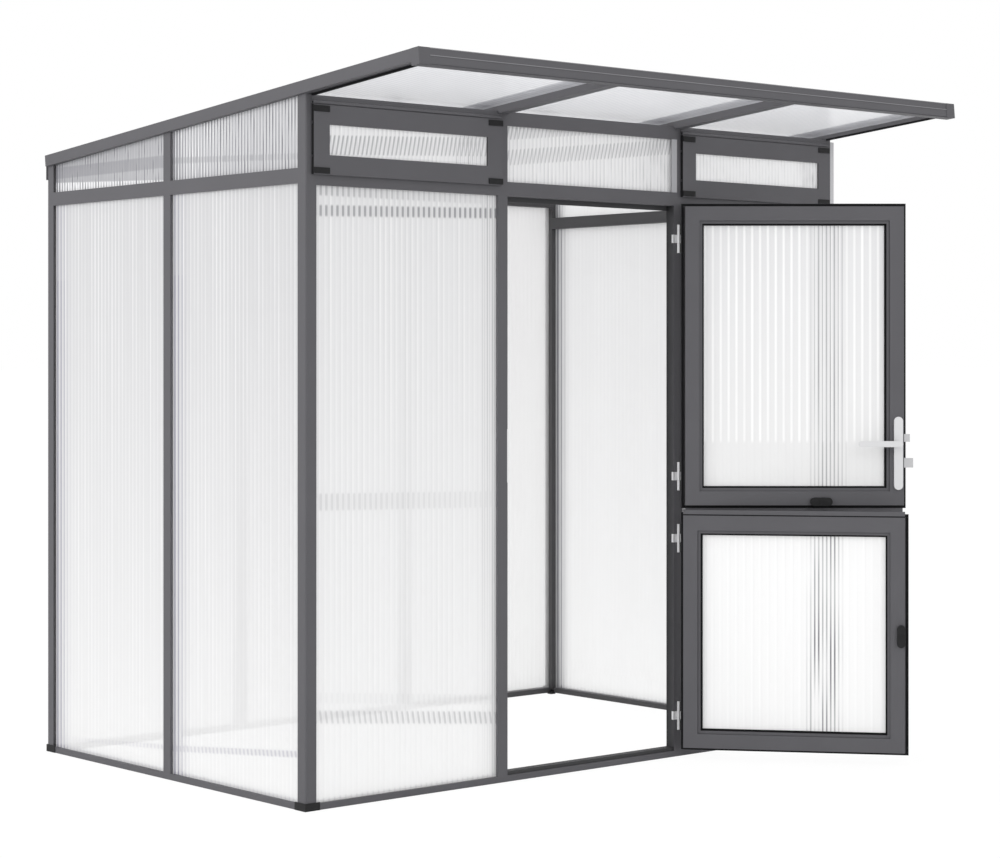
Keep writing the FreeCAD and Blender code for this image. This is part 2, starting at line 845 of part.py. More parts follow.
def make_front_sheets():
    near = front + size("sheet_recess")
    bottom = size("base_rail_height") - grip
    height = front_rail_bottom + grip - bottom
    sheets = []
    for side in (-1, 1):
        a = side * (jamb_outer - grip)
        b = side * (post_inner + grip)
        low, high = (b, a) if side < 0 else (a, b)
        tag = "left" if side < 0 else "right"
        sheets.append(ribbed_sheet(f"front_sheet_{tag}", "XY_Plane", low, high, near,
                                   bottom, height))
    node("front_wall_sheets", *sheets)
    base = front_rail_bottom + size("rail_height") - grip
    reach = half_opening - size("over_door_play")
    over = ribbed_sheet("over_door_sheet", "XY_Plane", -reach, reach,
                        near, base, header_bottom + grip - base)
    node("over_door_sheet", over)


def make_side_sheets():
    bar_start = front + size("side_bar_centre") - bar / 2
    bays = (("front", -half_depth + bar - grip, bar_start + grip),
            ("rear", bar_start + bar - grip, half_depth - bar + grip))
    low_start = size("base_rail_height") - grip
    low_height = side_rail_bottom + grip - low_start
    high_start = side_rail_bottom + size("rail_height") - grip
    lower = []
    upper = []
    for side in (-1, 1):
        outer = size("sheet_recess")
        near = half_width - outer - sheet_thickness if side > 0 else -half_width + outer
        tag = "left" if side < 0 else "right"
        for place, low, high in bays:
            lower.append(ribbed_sheet(f"side_lower_{tag}_{place}", "XY_Plane", low, high,
                                      near, low_start, low_height, turned=True))
            body = ribbed_sheet(f"side_upper_{tag}_{place}", "XY_Plane", low, high, near,
                                high_start, size("roof_front_height") - high_start,
                                turned=True)
            slope_cut(body, size("roof_rail_depth") - grip)
            upper.append(body)
    node("side_lower_sheets", *lower)
    node("side_upper_sheets", *upper)


def make_rear_sheets():
    near = half_depth - size("sheet_recess") - sheet_thickness
    bottom = size("base_rail_height") - grip
    height = eaves_rail_bottom + grip - bottom
    inner = rear_bar_offset() - bar / 2 + grip
    outer = rear_bar_offset() + bar / 2 - grip
    spans = (("left", -post_inner - grip, -outer), ("middle", -inner, inner),
             ("right", outer, post_inner + grip))
    sheets = [ribbed_sheet(f"rear_sheet_{tag}", "XY_Plane", low, high, near, bottom, height)
              for tag, low, high in spans]
    node("rear_wall_sheets", *sheets)


def make_roof_sheets():
    start = rail_start - grip
    near = slot_bottom + play
    inner = half_opening + grip
    outer = half_opening + size("roof_rail_width") - grip
    edge = roof_edge - size("roof_rail_width") + grip
    spans = (("left", -edge, -outer), ("middle", -inner, inner), ("right", outer, edge))
    sheets = []
    for tag, low, high in spans:
        body = ribbed_sheet(f"roof_sheet_{tag}", "XZ_Plane", low, high, near, start,
                            roof_back - start)
        body.Placement = roof_place
        sheets.append(body)
    node("roof_sheets", *sheets)


def make_edge_strip():
    """Pale cover strip on the front edge of the right-hand wall."""
    body = new_body("wall_edge_strip")
    outer = half_width + size("edge_strip_thickness")
    loop = box_loop(half_width, front + size("post_corner_radius"), outer,
                    front + size("post_corner_radius") + size("edge_strip_width"))
    foot = size("shoe_height")
    extrude(body, "XY_Plane", [loop], foot, size("roof_front_height") - foot)
    slope_cut(body, size("roof_rail_depth"))
    node("wall_edge_strip", body)


# Stable door: each leaf is drawn from its hinge axis, X to the free edge and Y outwards

beside = size("hinge_beside_opening")
before = size("hinge_before_frame")
lap = size("leaf_lap")
seal = size("leaf_seal")
flange_face = seal + size("flange_thickness") - before
flange_back = seal - before
inner_face = flange_back - size("leaf_body_depth")
flange_start = beside - lap
flange_end = beside + size("door_opening_width") + lap
body_start = beside + size("leaf_play")
body_end = beside + size("door_opening_width") - size("leaf_play")
flange_rim = lap + size("leaf_play")
hinge_x = half_opening + beside
hinge_y = front - before
upper_top = front_rail_bottom + lap
upper_bottom = size("leaf_split") + size("leaf_gap") / 2
lower_top = size("leaf_split") - size("leaf_gap") / 2
lower_bottom = size("sill_upstand_top") - lap
member = size("member_width")
pane_edge = member + size("bead_width") + size("gasket_show")


def leaf_placement(open_angle):
    """Where a leaf's own drawing lies when it stands open by OPEN_ANGLE."""
    turn = FreeCAD.Rotation(FreeCAD.Vector(0, 0, 1), 180 + open_angle.number)
    return FreeCAD.Placement(FreeCAD.Vector(hinge_x.number, hinge_y.number, 0), turn)


upper_place = leaf_placement(size("upper_leaf_open"))
lower_place = leaf_placement(size("lower_leaf_open"))


def shifted(x, z, tilt):
    """A move in the leaf's plane with a turn about the leaf's own Y axis."""
    return FreeCAD.Placement(FreeCAD.Vector(as_size(x).number, 0, as_size(z).number),
                             FreeCAD.Rotation(FreeCAD.Vector(0, 1, 0), tilt))


def mitred(label, outline, hollow, rim, inner, length):
    """A member along Z whose X runs from its outer edge inwards, mitred at both ends.

    RIM is how far the section starts outside the frame line that LENGTH measures.
    """
    body = new_body(label)
    loops = [outline] if hollow is None else [outline, hollow]
    extrude(body, "XY_Plane", loops, -rim, length + 2 * rim)
    far = inner + OVERRUN
    low = [(-rim - OVERRUN, -rim - OVERRUN), (far, -rim - OVERRUN), (far, far)]
    high = [(-rim - OVERRUN, length + rim + OVERRUN), (far, length - far),
            (far, length + rim + OVERRUN)]
    for loop in (low, high):
        cut(body, "XZ_Plane", [loop], inner_face - OVERRUN,
            flange_face - inner_face + 2 * OVERRUN)
    return body


def frame_places(bottom, top):
    """Places of the hinge stile, free stile, bottom and top member of a leaf."""
    return {
        "hinge": shifted(body_start, bottom, 0),
        "free": shifted(body_end, top, 180),
        "bottom": shifted(body_end, bottom, -90),
        "top": shifted(body_start, top, 90),
    }


def leaf_section():
    """Outline and hollow of a leaf member."""
    lip = flange_back
    outline = [(-flange_rim, lip), (0, lip), (0, inner_face), (member, inner_face),
               (member, lip), (pane_edge, lip), (pane_edge, flange_face),
               (-flange_rim, flange_face)]
    hollow = [(wall, inner_face + wall), (member - wall, inner_face + wall),
              (member - wall, flange_face - wall), (wall, flange_face - wall)]
    return outline, hollow


def ring(label, low_x, low_z, high_x, high_z, width, start, depth):
    """A rectangular ring, WIDTH wide, square to the leaf."""
    body = new_body(label)
    outer = box_loop(low_x, low_z, high_x, high_z)
    inner = box_loop(low_x + width, low_z + width, high_x - width, high_z - width)
    extrude(body, "XZ_Plane", [outer, inner], start, depth)
    return body


def drill_lock(stile, high_z):
    """Openings in the free stile for the bolts, the spindle and the key cylinder."""
    near, far = bolt_span_local()
    room = size("bolt_play")
    for centre, tall in ((latch_level, size("latch_height")),
                         (dead_level, size("dead_bolt_height"))):
        level = high_z - centre
        slot = box_loop(near - room, level - tall / 2 - room, far + room, level + tall / 2 + room)
        cut(stile, "YZ_Plane", [slot], -OVERRUN, 2 * wall + OVERRUN)
    across = body_end - (flange_end - size("plate_from_edge"))
    depth = flange_face - inner_face + 2 * OVERRUN
    spindle_hole = size("lever_neck") / 2
    cut(stile, "XZ_Plane", [], inner_face - OVERRUN, depth,
        [(across, high_z - lever_level, spindle_hole)])
    half = size("cylinder_diameter") / 2 + size("bolt_play")
    key = high_z - key_level
    window = box_loop(across - half, key - half, across + half, key + size("cylinder_drop"))
    cut(stile, "XZ_Plane", [window], near, flange_face - near + OVERRUN)


def make_leaf(name, place, bottom, top, upstand):
    """Frame, beads, gaskets and sheet of one leaf; BOTTOM and TOP are its flange's edges."""
    low = bottom + flange_rim
    high = top - flange_rim
    outline, hollow = leaf_section()
    spots = frame_places(low, high)
    tall = high - low
    wide = body_end - body_start
    parts = {}
    for spot, run in (("hinge", tall), ("free", tall), ("bottom", wide), ("top", wide)):
        parts[spot] = mitred(f"{name}_{spot}_member", outline, hollow, flange_rim, pane_edge, run)
    if name == "upper_leaf":
        drill_lock(parts["free"], high)
        drill_catch(parts["bottom"], size("leaf_split") + size("catch_above_split") - low,
                    body_end - size("upper_catch_along"))
    else:
        drill_catch(parts["free"], size("lower_catch_inset"), high - size("lower_catch_height"))
    if upstand:
        strip = box_loop(-size("upstand_height"), inner_face, 0,
                         inner_face + size("upstand_thickness"))
        extrude(parts["top"], "XY_Plane", [strip], 0, wide)
    for spot, body in parts.items():
        body.Placement = place.multiply(spots[spot])
    node(f"{name}_stiles", parts["hinge"], parts["free"])
    node(f"{name}_rails", parts["bottom"], parts["top"])

    bead_low = inner_face + size("bead_step")
    pane_inner = sheet_inner_face()
    bead_high = pane_inner - size("inner_gasket")
    bead_loop = box_loop(member, bead_low, member + size("bead_width"), bead_high)
    beads = []
    for spot, run in (("hinge", tall), ("free", tall), ("bottom", wide), ("top", wide)):
        body = mitred(f"{name}_{spot}_bead", bead_loop, None, 0, pane_edge, run)
        body.Placement = place.multiply(spots[spot])
        beads.append(body)
    node(f"{name}_beads", *beads)

    inner_ring = ring(f"{name}_inner_gasket", body_start + member, low + member,
                      body_end - member, high - member,
                      size("bead_width") + size("gasket_show"), bead_high, size("inner_gasket"))
    outer_ring = ring(f"{name}_outer_gasket", body_start + member, low + member,
                      body_end - member, high - member,
                      size("bead_width") + size("gasket_show"),
                      flange_back - size("outer_gasket"), size("outer_gasket"))
    inset = size("seal_inset")
    seal_ring = ring(f"{name}_seal", flange_start + inset, bottom + inset,
                     flange_end - inset, top - inset, size("seal_width"),
                     flange_back - size("seal_thickness"), size("seal_thickness"))
    for body in (inner_ring, outer_ring, seal_ring):
        body.Placement = place
    node(f"{name}_gaskets", inner_ring, outer_ring, seal_ring)

    edge = member + size("glazing_edge_play")
    pane = ribbed_sheet(f"{name}_sheet", "XY_Plane", body_start + edge, body_end - edge,
                        pane_inner, low + edge, high - low - 2 * edge)
    pane.Placement = place
    node(f"{name}_sheet", pane)


def sheet_inner_face():
    """The side of a leaf's sheet that faces the room."""
    return flange_back - size("outer_gasket") - sheet_thickness


def hinge_heights():
    """Middles of the four hinges, from the top down."""
    split = size("leaf_split")
    return [below_roof("upper_hinge_drop"), split + size("upper_hinge_above_split"),
            split - size("lower_hinge_below_split"), size("lower_hinge_height")]


def hinge_screw_across():
    """Where the bracket's screw goes into the jamb."""
    edge = hinge_x - wing_overlap() + size("wing_width")
    return edge - size("screw_head_diameter") / 2 - size("screw_margin")


def wing_overlap():
    return size("barrel_diameter") / 2


def make_hinges():
    """Jamb brackets with the middle knuckle, pins, screws, and the leaves' knuckles."""
    radius = size("barrel_diameter") / 2
    bore = size("pin_diameter") / 2 + size("pin_play")
    middle = size("bracket_knuckle")
    outer = size("leaf_knuckle")
    thin = size("wing_thickness")
    brackets = []
    pins = []
    screws = []
    leaves = {"upper_leaf": [], "lower_leaf": []}
    for number, centre in enumerate(hinge_heights(), 1):
        bracket = new_body(f"hinge_bracket_{number}")
        extrude(bracket, "XY_Plane", [], centre - middle / 2, middle, [(hinge_x, hinge_y, radius)])
        plate = box_loop(hinge_x - wing_overlap(), front - thin,
                         hinge_x - wing_overlap() + size("wing_width"), front)
        tall = size("bracket_plate_height")
        extrude(bracket, "XY_Plane", [plate], centre - tall / 2, tall)
        root = box_loop(hinge_x - wing_overlap() / 2, hinge_y, hinge_x + wing_overlap(), front)
        extrude(bracket, "XY_Plane", [root], centre - tall / 2, tall)
        cut(bracket, "XY_Plane", [], centre - middle, 2 * middle, [(hinge_x, hinge_y, bore)])
        screw_x = hinge_screw_across()
        slack = size("screw_play")
        shank = size("hinge_screw_diameter") / 2
        head = size("screw_head_diameter") / 2
        sunk = size("screw_head_height")
        cut(bracket, "XZ_Plane", [hexagon(screw_x, centre, shank + slack)],
            front - thin - OVERRUN, thin + 2 * OVERRUN)
        cut(bracket, "XZ_Plane", [hexagon(screw_x, centre, head + slack)],
            front - thin - OVERRUN, OVERRUN + sunk + slack)
        brackets.append(bracket)

        pin = new_body(f"hinge_pin_{number}")
        reach = middle / 2 + size("knuckle_play") + outer
        extrude(pin, "XY_Plane", [], centre - reach, 2 * reach,
                [(hinge_x, hinge_y, size("pin_diameter") / 2)])
        pins.append(pin)

        screw = new_body(f"hinge_screw_{number}")
        extrude(screw, "XZ_Plane", [hexagon(screw_x, centre, head)], front - thin, sunk)
        extrude(screw, "XZ_Plane", [hexagon(screw_x, centre, shank)], front - thin,
                size("screw_length"))
        screws.append(screw)

        name = "upper_leaf" if number <= 2 else "lower_leaf"
        place = upper_place if number <= 2 else lower_place
        for way in (-1, 1):
            knuckle = new_body(f"{name}_knuckle_{number}_{'low' if way < 0 else 'high'}")
            gap = middle / 2 + size("knuckle_play")
            start = centre + gap if way > 0 else centre - gap - outer
            extrude(knuckle, "XY_Plane", [], start, outer, [(0, 0, radius)])
            web = box_loop(0, flange_back, flange_start,
                           flange_face - size("knuckle_web_inset"))
            extrude(knuckle, "XY_Plane", [web], start, outer)
            cut(knuckle, "XY_Plane", [], start - OVERRUN, outer + 2 * OVERRUN, [(0, 0, bore)])
            knuckle.Placement = place
            leaves[name].append(knuckle)
    node("door_hinge_brackets", *brackets)
    node("door_hinge_pins", *pins)
    node("door_hinge_screws", *screws)
    for name, knuckles in leaves.items():
        node(f"{name}_hinges", *knuckles)


# Lock, handles and turn catches

def bolt_span_local():
    """The two faces of the bolts in a leaf's own drawing."""
    far = flange_back - size("bolt_setback")
    return far - size("bolt_thickness"), far


def bolt_span():
    """The two faces of the bolts with the leaf shut, in the house's own drawing."""
    near, far = bolt_span_local()
    return hinge_y - far, hinge_y - near


def plate_across():
    return flange_end - size("plate_from_edge")


def rounded_bar(body, role, along, start, depth, centre, low, high, width):
    """A strip with round ends, ALONG names the sketch axis it runs on."""
    half = width / 2
    if along == "z":
        loop = box_loop(centre - half, low + half, centre + half, high - half)
        ends = [(centre, low + half, half), (centre, high - half, half)]
    else:
        loop = box_loop(low + half, centre - half, high - half, centre + half)
        ends = [(low + half, centre, half), (high - half, centre, half)]
    extrude(body, role, [loop], start, depth)
    extrude(body, role, [], start, depth, ends)


def make_handles():
    across = plate_across()
    thick = size("plate_thickness")
    low = latch_level - size("plate_below_lock")
    high = low + size("plate_length")
    level = lever_level
    neck = size("lever_neck") / 2
    key = key_level
    round_hole = size("cylinder_diameter") / 2 + size("screw_play")
    tail = size("cylinder_tail_width") / 2 + size("screw_play")
    drop = size("cylinder_drop") - size("cylinder_diameter") / 2 + size("screw_play")
    for label, start in (("inner_backplate", inner_face - thick), ("outer_backplate", flange_face)):
        plate = new_body(label)
        rounded_bar(plate, "XZ_Plane", "z", start, thick, across, low, high, size("plate_width"))
        cut(plate, "XZ_Plane", [], start - OVERRUN, thick + 2 * OVERRUN,
            [(across, level, neck + size("screw_play"))])
        if label == "outer_backplate":
            cut(plate, "XZ_Plane", [], start - OVERRUN, thick + 2 * OVERRUN,
                [(across, key, round_hole)])
            slot = box_loop(across - tail, key - drop, across + tail, key)
            cut(plate, "XZ_Plane", [slot], start - OVERRUN, thick + 2 * OVERRUN)
        plate.Placement = upper_place
        node(label, plate)

    reach = size("lever_standoff")
    grip_thick = size("lever_thickness")
    back = size("lever_return")
    tip = across - size("lever_length")
    half = size("lever_width") / 2
    spindle_half = size("spindle_width") / 2
    for label, face, way in (("inner_lever", inner_face, -1), ("outer_lever", flange_face, 1)):
        lever = new_body(label)
        top_face = face + way * (thick + reach)

        def span(from_face, to_face):
            """Order two depths so that the prism runs along +Y."""
            if from_face.number < to_face.number:
                return from_face, to_face - from_face
            return to_face, from_face - to_face

        start, depth = span(face, top_face)
        extrude(lever, "XZ_Plane", [], start, depth, [(across, level, neck)])
        start, depth = span(top_face - way * grip_thick, top_face)
        rounded_bar(lever, "XZ_Plane", "x", start, depth, level, tip, across + half,
                    size("lever_width"))
        start, depth = span(top_face - way * back, top_face)
        end = box_loop(tip + half, level - half, tip + half + size("lever_return_length"),
                       level + half)
        extrude(lever, "XZ_Plane", [end], start, depth)
        start, depth = span(face - way, face + way * (thick + reach / 2))
        hole = spindle_half + size("spindle_play")
        socket = box_loop(across - hole, level - hole, across + hole, level + hole)
        cut(lever, "XZ_Plane", [socket], start, depth)
        lever.Placement = upper_place
        node(label, lever)

    spindle = new_body("lever_spindle")
    inset = thick + reach / 2 - size("spindle_end_play")
    loop = box_loop(across - spindle_half, level - spindle_half,
                    across + spindle_half, level + spindle_half)
    extrude(spindle, "XZ_Plane", [loop], inner_face - inset,
            flange_face - inner_face + 2 * inset)
    spindle.Placement = upper_place
    node("lever_spindle", spindle)


def make_lock():
    across = plate_across()
    near, far = bolt_span_local()
    case_end = body_end - wall - size("sheet_play")
    case_start = case_end - size("lock_case_width")
    thin = size("lock_case_wall")
    middle = (near + far) / 2
    half = size("lock_case_depth") / 2
    low = latch_level - size("case_below_lock")
    high = low + size("lock_case_height")
    case = new_body("lock_case")
    extrude(case, "XY_Plane", [
        box_loop(case_start, middle - half, case_end, middle + half),
        box_loop(case_start + thin, middle - half + thin, case_end - thin, middle + half - thin),
    ], low, high - low)
    extrude(case, "XY_Plane", [box_loop(case_start, middle - half, case_end, middle + half)],
            low, thin)
    extrude(case, "XY_Plane", [box_loop(case_start, middle - half, case_end, middle + half)],
            high - thin, thin)
    room = size("bolt_play")
    windows = []
    for centre, tall in ((latch_level, size("latch_height")),
                         (dead_level, size("dead_bolt_height"))):
        windows.append(box_loop(near - room, centre - tall / 2 - room,
                                far + room, centre + tall / 2 + room))
    cut(case, "YZ_Plane", windows, case_end - 2 * thin, 2 * thin + OVERRUN)
    hole = size("spindle_hole_diameter") / 2
    key = key_level
    key_half = size("cylinder_diameter") / 2 + room
    cut(case, "XZ_Plane", [], middle - half - OVERRUN, 2 * half + 2 * OVERRUN,
        [(across, lever_level, hole)])
    cut(case, "XZ_Plane",
        [box_loop(across - key_half, key - size("cylinder_drop"), across + key_half, key + key_half)],
        middle, half + OVERRUN)
    case.Placement = upper_place
    node("lock_case", case)

    latch = new_body("latch_bolt")
    tall = size("latch_height") / 2
    tip = flange_end + size("latch_reach")
    level = latch_level
    slant = size("bolt_thickness")
    nose = [(tip - size("bolt_length"), near), (tip, near), (tip - slant, far),
            (tip - size("bolt_length"), far)]
    extrude(latch, "XY_Plane", [nose], level - tall, 2 * tall)
    latch.Placement = upper_place
    node("latch_bolt", latch)

    dead = new_body("dead_bolt")
    tall = size("dead_bolt_height") / 2
    tip = flange_end + size("dead_reach")
    loop = box_loop(case_start + thin + size("bolt_travel"), near, tip, far)
    extrude(dead, "XY_Plane", [loop], dead_level - tall, 2 * tall)
    dead.Placement = upper_place
    node("dead_bolt", dead)

    cylinder = new_body("key_cylinder")
    start = middle
    depth = flange_face + size("plate_thickness") + size("cylinder_proud") - start
    extrude(cylinder, "XZ_Plane", [], start, depth, [(across, key, size("cylinder_diameter") / 2)])
    tail = size("cylinder_tail_width") / 2
    drop = size("cylinder_drop") - size("cylinder_diameter") / 2
    extrude(cylinder, "XZ_Plane", [box_loop(across - tail, key - drop, across + tail, key)],
            start, depth)
    cylinder.Placement = upper_place
    node("key_cylinder", cylinder)


def drill_catch(stile, across, level):
    """Hole for a turn catch's pin in the inner face of a member."""
    cut(stile, "XZ_Plane", [], inner_face - OVERRUN, OVERRUN + 2 * wall,
        [(across, level, size("catch_pin_diameter") / 2 + size("catch_play"))])


def make_catch(name, place, across, level, upright):
    """A turn catch on its pin: an oval wing that stands off the leaf on a boss."""
    boss = size("catch_boss_height")
    thick = size("catch_thickness")
    start = inner_face - boss - thick
    catch = new_body(f"{name}_turn_catch")
    half = size("catch_length") / 2
    if upright:
        rounded_bar(catch, "XZ_Plane", "z", start, thick, across, level - half, level + half,
                    size("catch_width"))
    else:
        rounded_bar(catch, "XZ_Plane", "x", start, thick, level, across - half, across + half,
                    size("catch_width"))
    extrude(catch, "XZ_Plane", [], start, thick + boss,
            [(across, level, size("catch_boss_diameter") / 2)])
    bore = size("catch_pin_diameter") / 2 + size("catch_play")
    cut(catch, "XZ_Plane", [], start - OVERRUN, thick + boss + 2 * OVERRUN,
        [(across, level, bore)])
    catch.Placement = place
    node(f"{name}_turn_catch", catch)
    pin = new_body(f"{name}_catch_pin")
    head = size("catch_head_height")
    gap = size("catch_play")
    extrude(pin, "XZ_Plane", [], start - gap - head, head,
            [(across, level, size("catch_pin_head") / 2)])
    extrude(pin, "XZ_Plane", [], start - gap, gap + thick + boss + 2 * wall,
            [(across, level, size("catch_pin_diameter") / 2)])
    pin.Placement = place
    node(f"{name}_catch_pin", pin)


def make_door():
    make_leaf("upper_leaf", upper_place, upper_bottom, upper_top, upstand=False)
    make_leaf("lower_leaf", lower_place, lower_bottom, lower_top, upstand=True)
    make_hinges()
    make_handles()
    make_lock()
    make_catch("upper", upper_place, size("upper_catch_along"),
               size("leaf_split") + size("catch_above_split"), False)
    make_catch("lower", lower_place, body_end - size("lower_catch_inset"),
               size("lower_catch_height"), True)


# Top vents, drawn where they are when shut

def vent_across(side):
    """Sash edges and glass edges, from the post towards the jamb."""
    def place(from_corner):
        return side * (half_width - from_corner)

    return place


def vent_sash(side):
    """Four sash members: full-width rails and short stiles between them."""
    tag = "left" if side < 0 else "right"
    place = vent_across(side)
    face = front - size("vent_proud")
    seat = front - size("vent_seat_gap")
    inner = front + size("vent_rebate_depth")
    hold = face + size("vent_skin")
    hold_far = hold + sheet_thickness + 2 * play
    jamb_side = half_width - jamb_outer
    outer_edge = size("vent_outer_edge")
    inner_edge = jamb_side + size("vent_inner_lap")
    rebate_near = bar + size("vent_play")
    rebate_far = jamb_side - size("vent_play")
    glass_near = size("vent_glass_from_post")
    glass_far = jamb_side - size("vent_glass_from_jamb")
    glass_low = vent_glass_bottom
    glass_high = vent_glass_top
    members = []
    for where, outer, rebate, glass, way in (
            ("post", outer_edge, rebate_near, glass_near, 1),
            ("jamb", inner_edge, rebate_far, glass_far, -1)):
        body = new_body(f"{tag}_vent_stile_{where}")
        loop = [(outer, face), (glass, face), (glass, hold), (glass - way * groove_depth, hold),
                (glass - way * groove_depth, hold_far), (glass, hold_far), (glass, inner),
                (rebate, inner), (rebate, seat), (outer, seat)]
        extrude(body, "XY_Plane", [[(place(a), b) for a, b in loop]], glass_low,
                glass_high - glass_low)
        members.append(body)
    rail_low = min(place(outer_edge).number, place(inner_edge).number)
    first = place(outer_edge) if side < 0 else place(inner_edge)
    run = inner_edge - outer_edge
    if abs(first.number - rail_low) > 0.01:
        raise RuntimeError("the vent rail starts at the wrong end")
    low_rebate = front_rail_bottom + size("rail_height") + size("vent_play")
    high_rebate = header_bottom - size("vent_play")
    for where, outer, rebate, glass, way in (
            ("bottom", vent_bottom, low_rebate, glass_low, 1),
            ("top", vent_top, high_rebate, glass_high, -1)):
        body = new_body(f"{tag}_vent_rail_{where}")
        loop = [(face, outer), (face, glass), (hold, glass), (hold, glass - way * groove_depth),
                (hold_far, glass - way * groove_depth), (hold_far, glass), (inner, glass),
                (inner, rebate), (seat, rebate), (seat, outer)]
        extrude(body, "YZ_Plane", [loop], first, run)
        if where == "top":
            axis_y = front - size("vent_axis_before_frame")
            axis_z = vent_axis_level
            half = size("bulb_neck") / 2
            neck = box_loop(axis_y - half, outer, axis_y + half, axis_z)
            extrude(body, "YZ_Plane", [neck], first, run)
            extrude(body, "YZ_Plane", [], first, run, [(axis_y, axis_z, size("bulb_radius"))])
        ends = [box_loop(place(a), vent_bottom - OVERRUN, place(b),
                         vent_top + OVERRUN)
                for a, b in ((outer_edge - OVERRUN, rebate_near), (rebate_far, inner_edge + OVERRUN))]
        cut(body, "XZ_Plane", ends, seat, inner - seat + OVERRUN)
        members.append(body)
    node(f"{tag}_vent_sash", *members)

    tabs = []
    for where, low in (("bottom", vent_bottom + size("tab_inset")),
                       ("top", vent_top - size("tab_inset") - size("tab_height"))):
        for end, a, b in (("post", outer_edge, outer_edge + size("tab_length")),
                          ("jamb", inner_edge - size("tab_length"), inner_edge)):
            tab = new_body(f"{tag}_vent_tab_{where}_{end}")
            extrude(tab, "XZ_Plane", [box_loop(place(a), low, place(b), low + size("tab_height"))],
                    face - size("tab_proud"), size("tab_proud"))
            tabs.append(tab)
    node(f"{tag}_vent_corners", *tabs)

    edges = sorted((place(glass_near - grip), place(glass_far + grip)),
                   key=lambda value: value.number)
    pane = ribbed_sheet(f"{tag}_vent_sheet", "XY_Plane", edges[0], edges[1], hold + play,
                        glass_low - grip, glass_high - glass_low + 2 * grip)
    node(f"{tag}_vent_sheet", pane)


def make_vent_channels():
    """C-shaped channels on the header, in which the bulbs of the vents turn."""
    axis_y = front - size("vent_axis_before_frame")
    axis_z = vent_axis_level
    outer = size("channel_radius")
    inner = size("bulb_radius") + size("bulb_play")
    run = half_width - jamb_outer + size("vent_inner_lap") - size("vent_outer_edge")
    channels = []
    for side in (-1, 1):
        tag = "left" if side < 0 else "right"
        start = -half_width + size("vent_outer_edge")
        if side > 0:
            start = half_width - size("vent_outer_edge") - run
        body = new_body(f"{tag}_vent_channel")
        extrude(body, "YZ_Plane", [], start, run, [(axis_y, axis_z, outer)])
        foot = box_loop(front - wall, axis_z, front, axis_z + size("channel_foot_rise"))
        extrude(body, "YZ_Plane", [foot], start, run)
        bridge = box_loop(axis_y, axis_z + inner, front, axis_z + outer)
        extrude(body, "YZ_Plane", [bridge], start, run)
        cut(body, "YZ_Plane", [], start - OVERRUN, run + 2 * OVERRUN, [(axis_y, axis_z, inner)])
        far = 2 * outer
        mouth = [(axis_y, axis_z)]
        for angle in (size("channel_mouth_start"), (size("channel_mouth_start")
                      + size("channel_mouth_end")) / 2, size("channel_mouth_end")):
            mouth.append((axis_y + far * cosine(angle), axis_z + far * sine(angle)))
        cut(body, "YZ_Plane", [mouth], start - OVERRUN, run + 2 * OVERRUN)
        channels.append(body)
    node("vent_hinge_channels", *channels)


def make_vents():
    for side in (-1, 1):
        vent_sash(side)
    make_vent_channels()


make_corners()
make_base_rails()
make_door_frame()
make_wall_bars()
make_rails()
make_eaves_rail()
make_roof_rails()
make_rafters()
make_fascia()
make_front_sheets()
make_side_sheets()
make_rear_sheets()
make_roof_sheets()
make_edge_strip()
make_door()
make_vents()
doc.recompute()

for item in doc.Objects:
    if "Invalid" in item.State or "Error" in item.State:
        raise RuntimeError(f"{item.Label} is {item.State}")
for label, piece in nodes.items():
    if piece.Shape.isNull() or not piece.Shape.isValid():
        raise RuntimeError(f"{label} has no valid shape")

os.makedirs("parts", exist_ok=True)
for label, piece in nodes.items():
    piece.Shape.exportStep(os.path.join("parts", f"{label}.step"))
print(len(nodes), "nodes written")
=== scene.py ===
# %% [markdown]
# # A lean-to greenhouse with a stable door, finished in Blender
#
# The greenhouse is already built as solids: bars, sheets, two door leaves, vents and locks.
# This lesson dresses those solids.  We load them, set the camera and the light, make the
# finishes, and swap the plain sheets for ribbed ones made with Geometry Nodes.

# %% Load the frame
import bpy
import bmesh
import json
import math
from mathutils import Matrix, Vector


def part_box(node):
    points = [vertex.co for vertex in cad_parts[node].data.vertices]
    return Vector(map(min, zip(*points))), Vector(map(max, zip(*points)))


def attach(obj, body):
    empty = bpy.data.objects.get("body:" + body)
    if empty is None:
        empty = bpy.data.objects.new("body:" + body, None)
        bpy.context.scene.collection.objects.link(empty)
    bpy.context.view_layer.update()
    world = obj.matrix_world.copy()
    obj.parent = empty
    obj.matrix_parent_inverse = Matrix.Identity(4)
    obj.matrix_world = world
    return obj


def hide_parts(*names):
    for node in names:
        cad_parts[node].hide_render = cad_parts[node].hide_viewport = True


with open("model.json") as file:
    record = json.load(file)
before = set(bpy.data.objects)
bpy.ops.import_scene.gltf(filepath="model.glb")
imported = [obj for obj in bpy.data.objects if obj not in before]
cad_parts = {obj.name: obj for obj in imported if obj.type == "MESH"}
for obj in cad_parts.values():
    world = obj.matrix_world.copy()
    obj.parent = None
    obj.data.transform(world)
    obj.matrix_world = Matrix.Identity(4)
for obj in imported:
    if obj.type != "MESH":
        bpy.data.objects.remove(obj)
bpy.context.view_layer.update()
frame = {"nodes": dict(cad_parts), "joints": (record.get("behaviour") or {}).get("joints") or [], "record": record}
nodes = frame["nodes"]

# %% [markdown]
# ## The camera
#
# The picture was taken with a long lens held level, so upright bars stay upright.  A small
# vertical shift, and no tilt, frames the house the way a product photographer would.

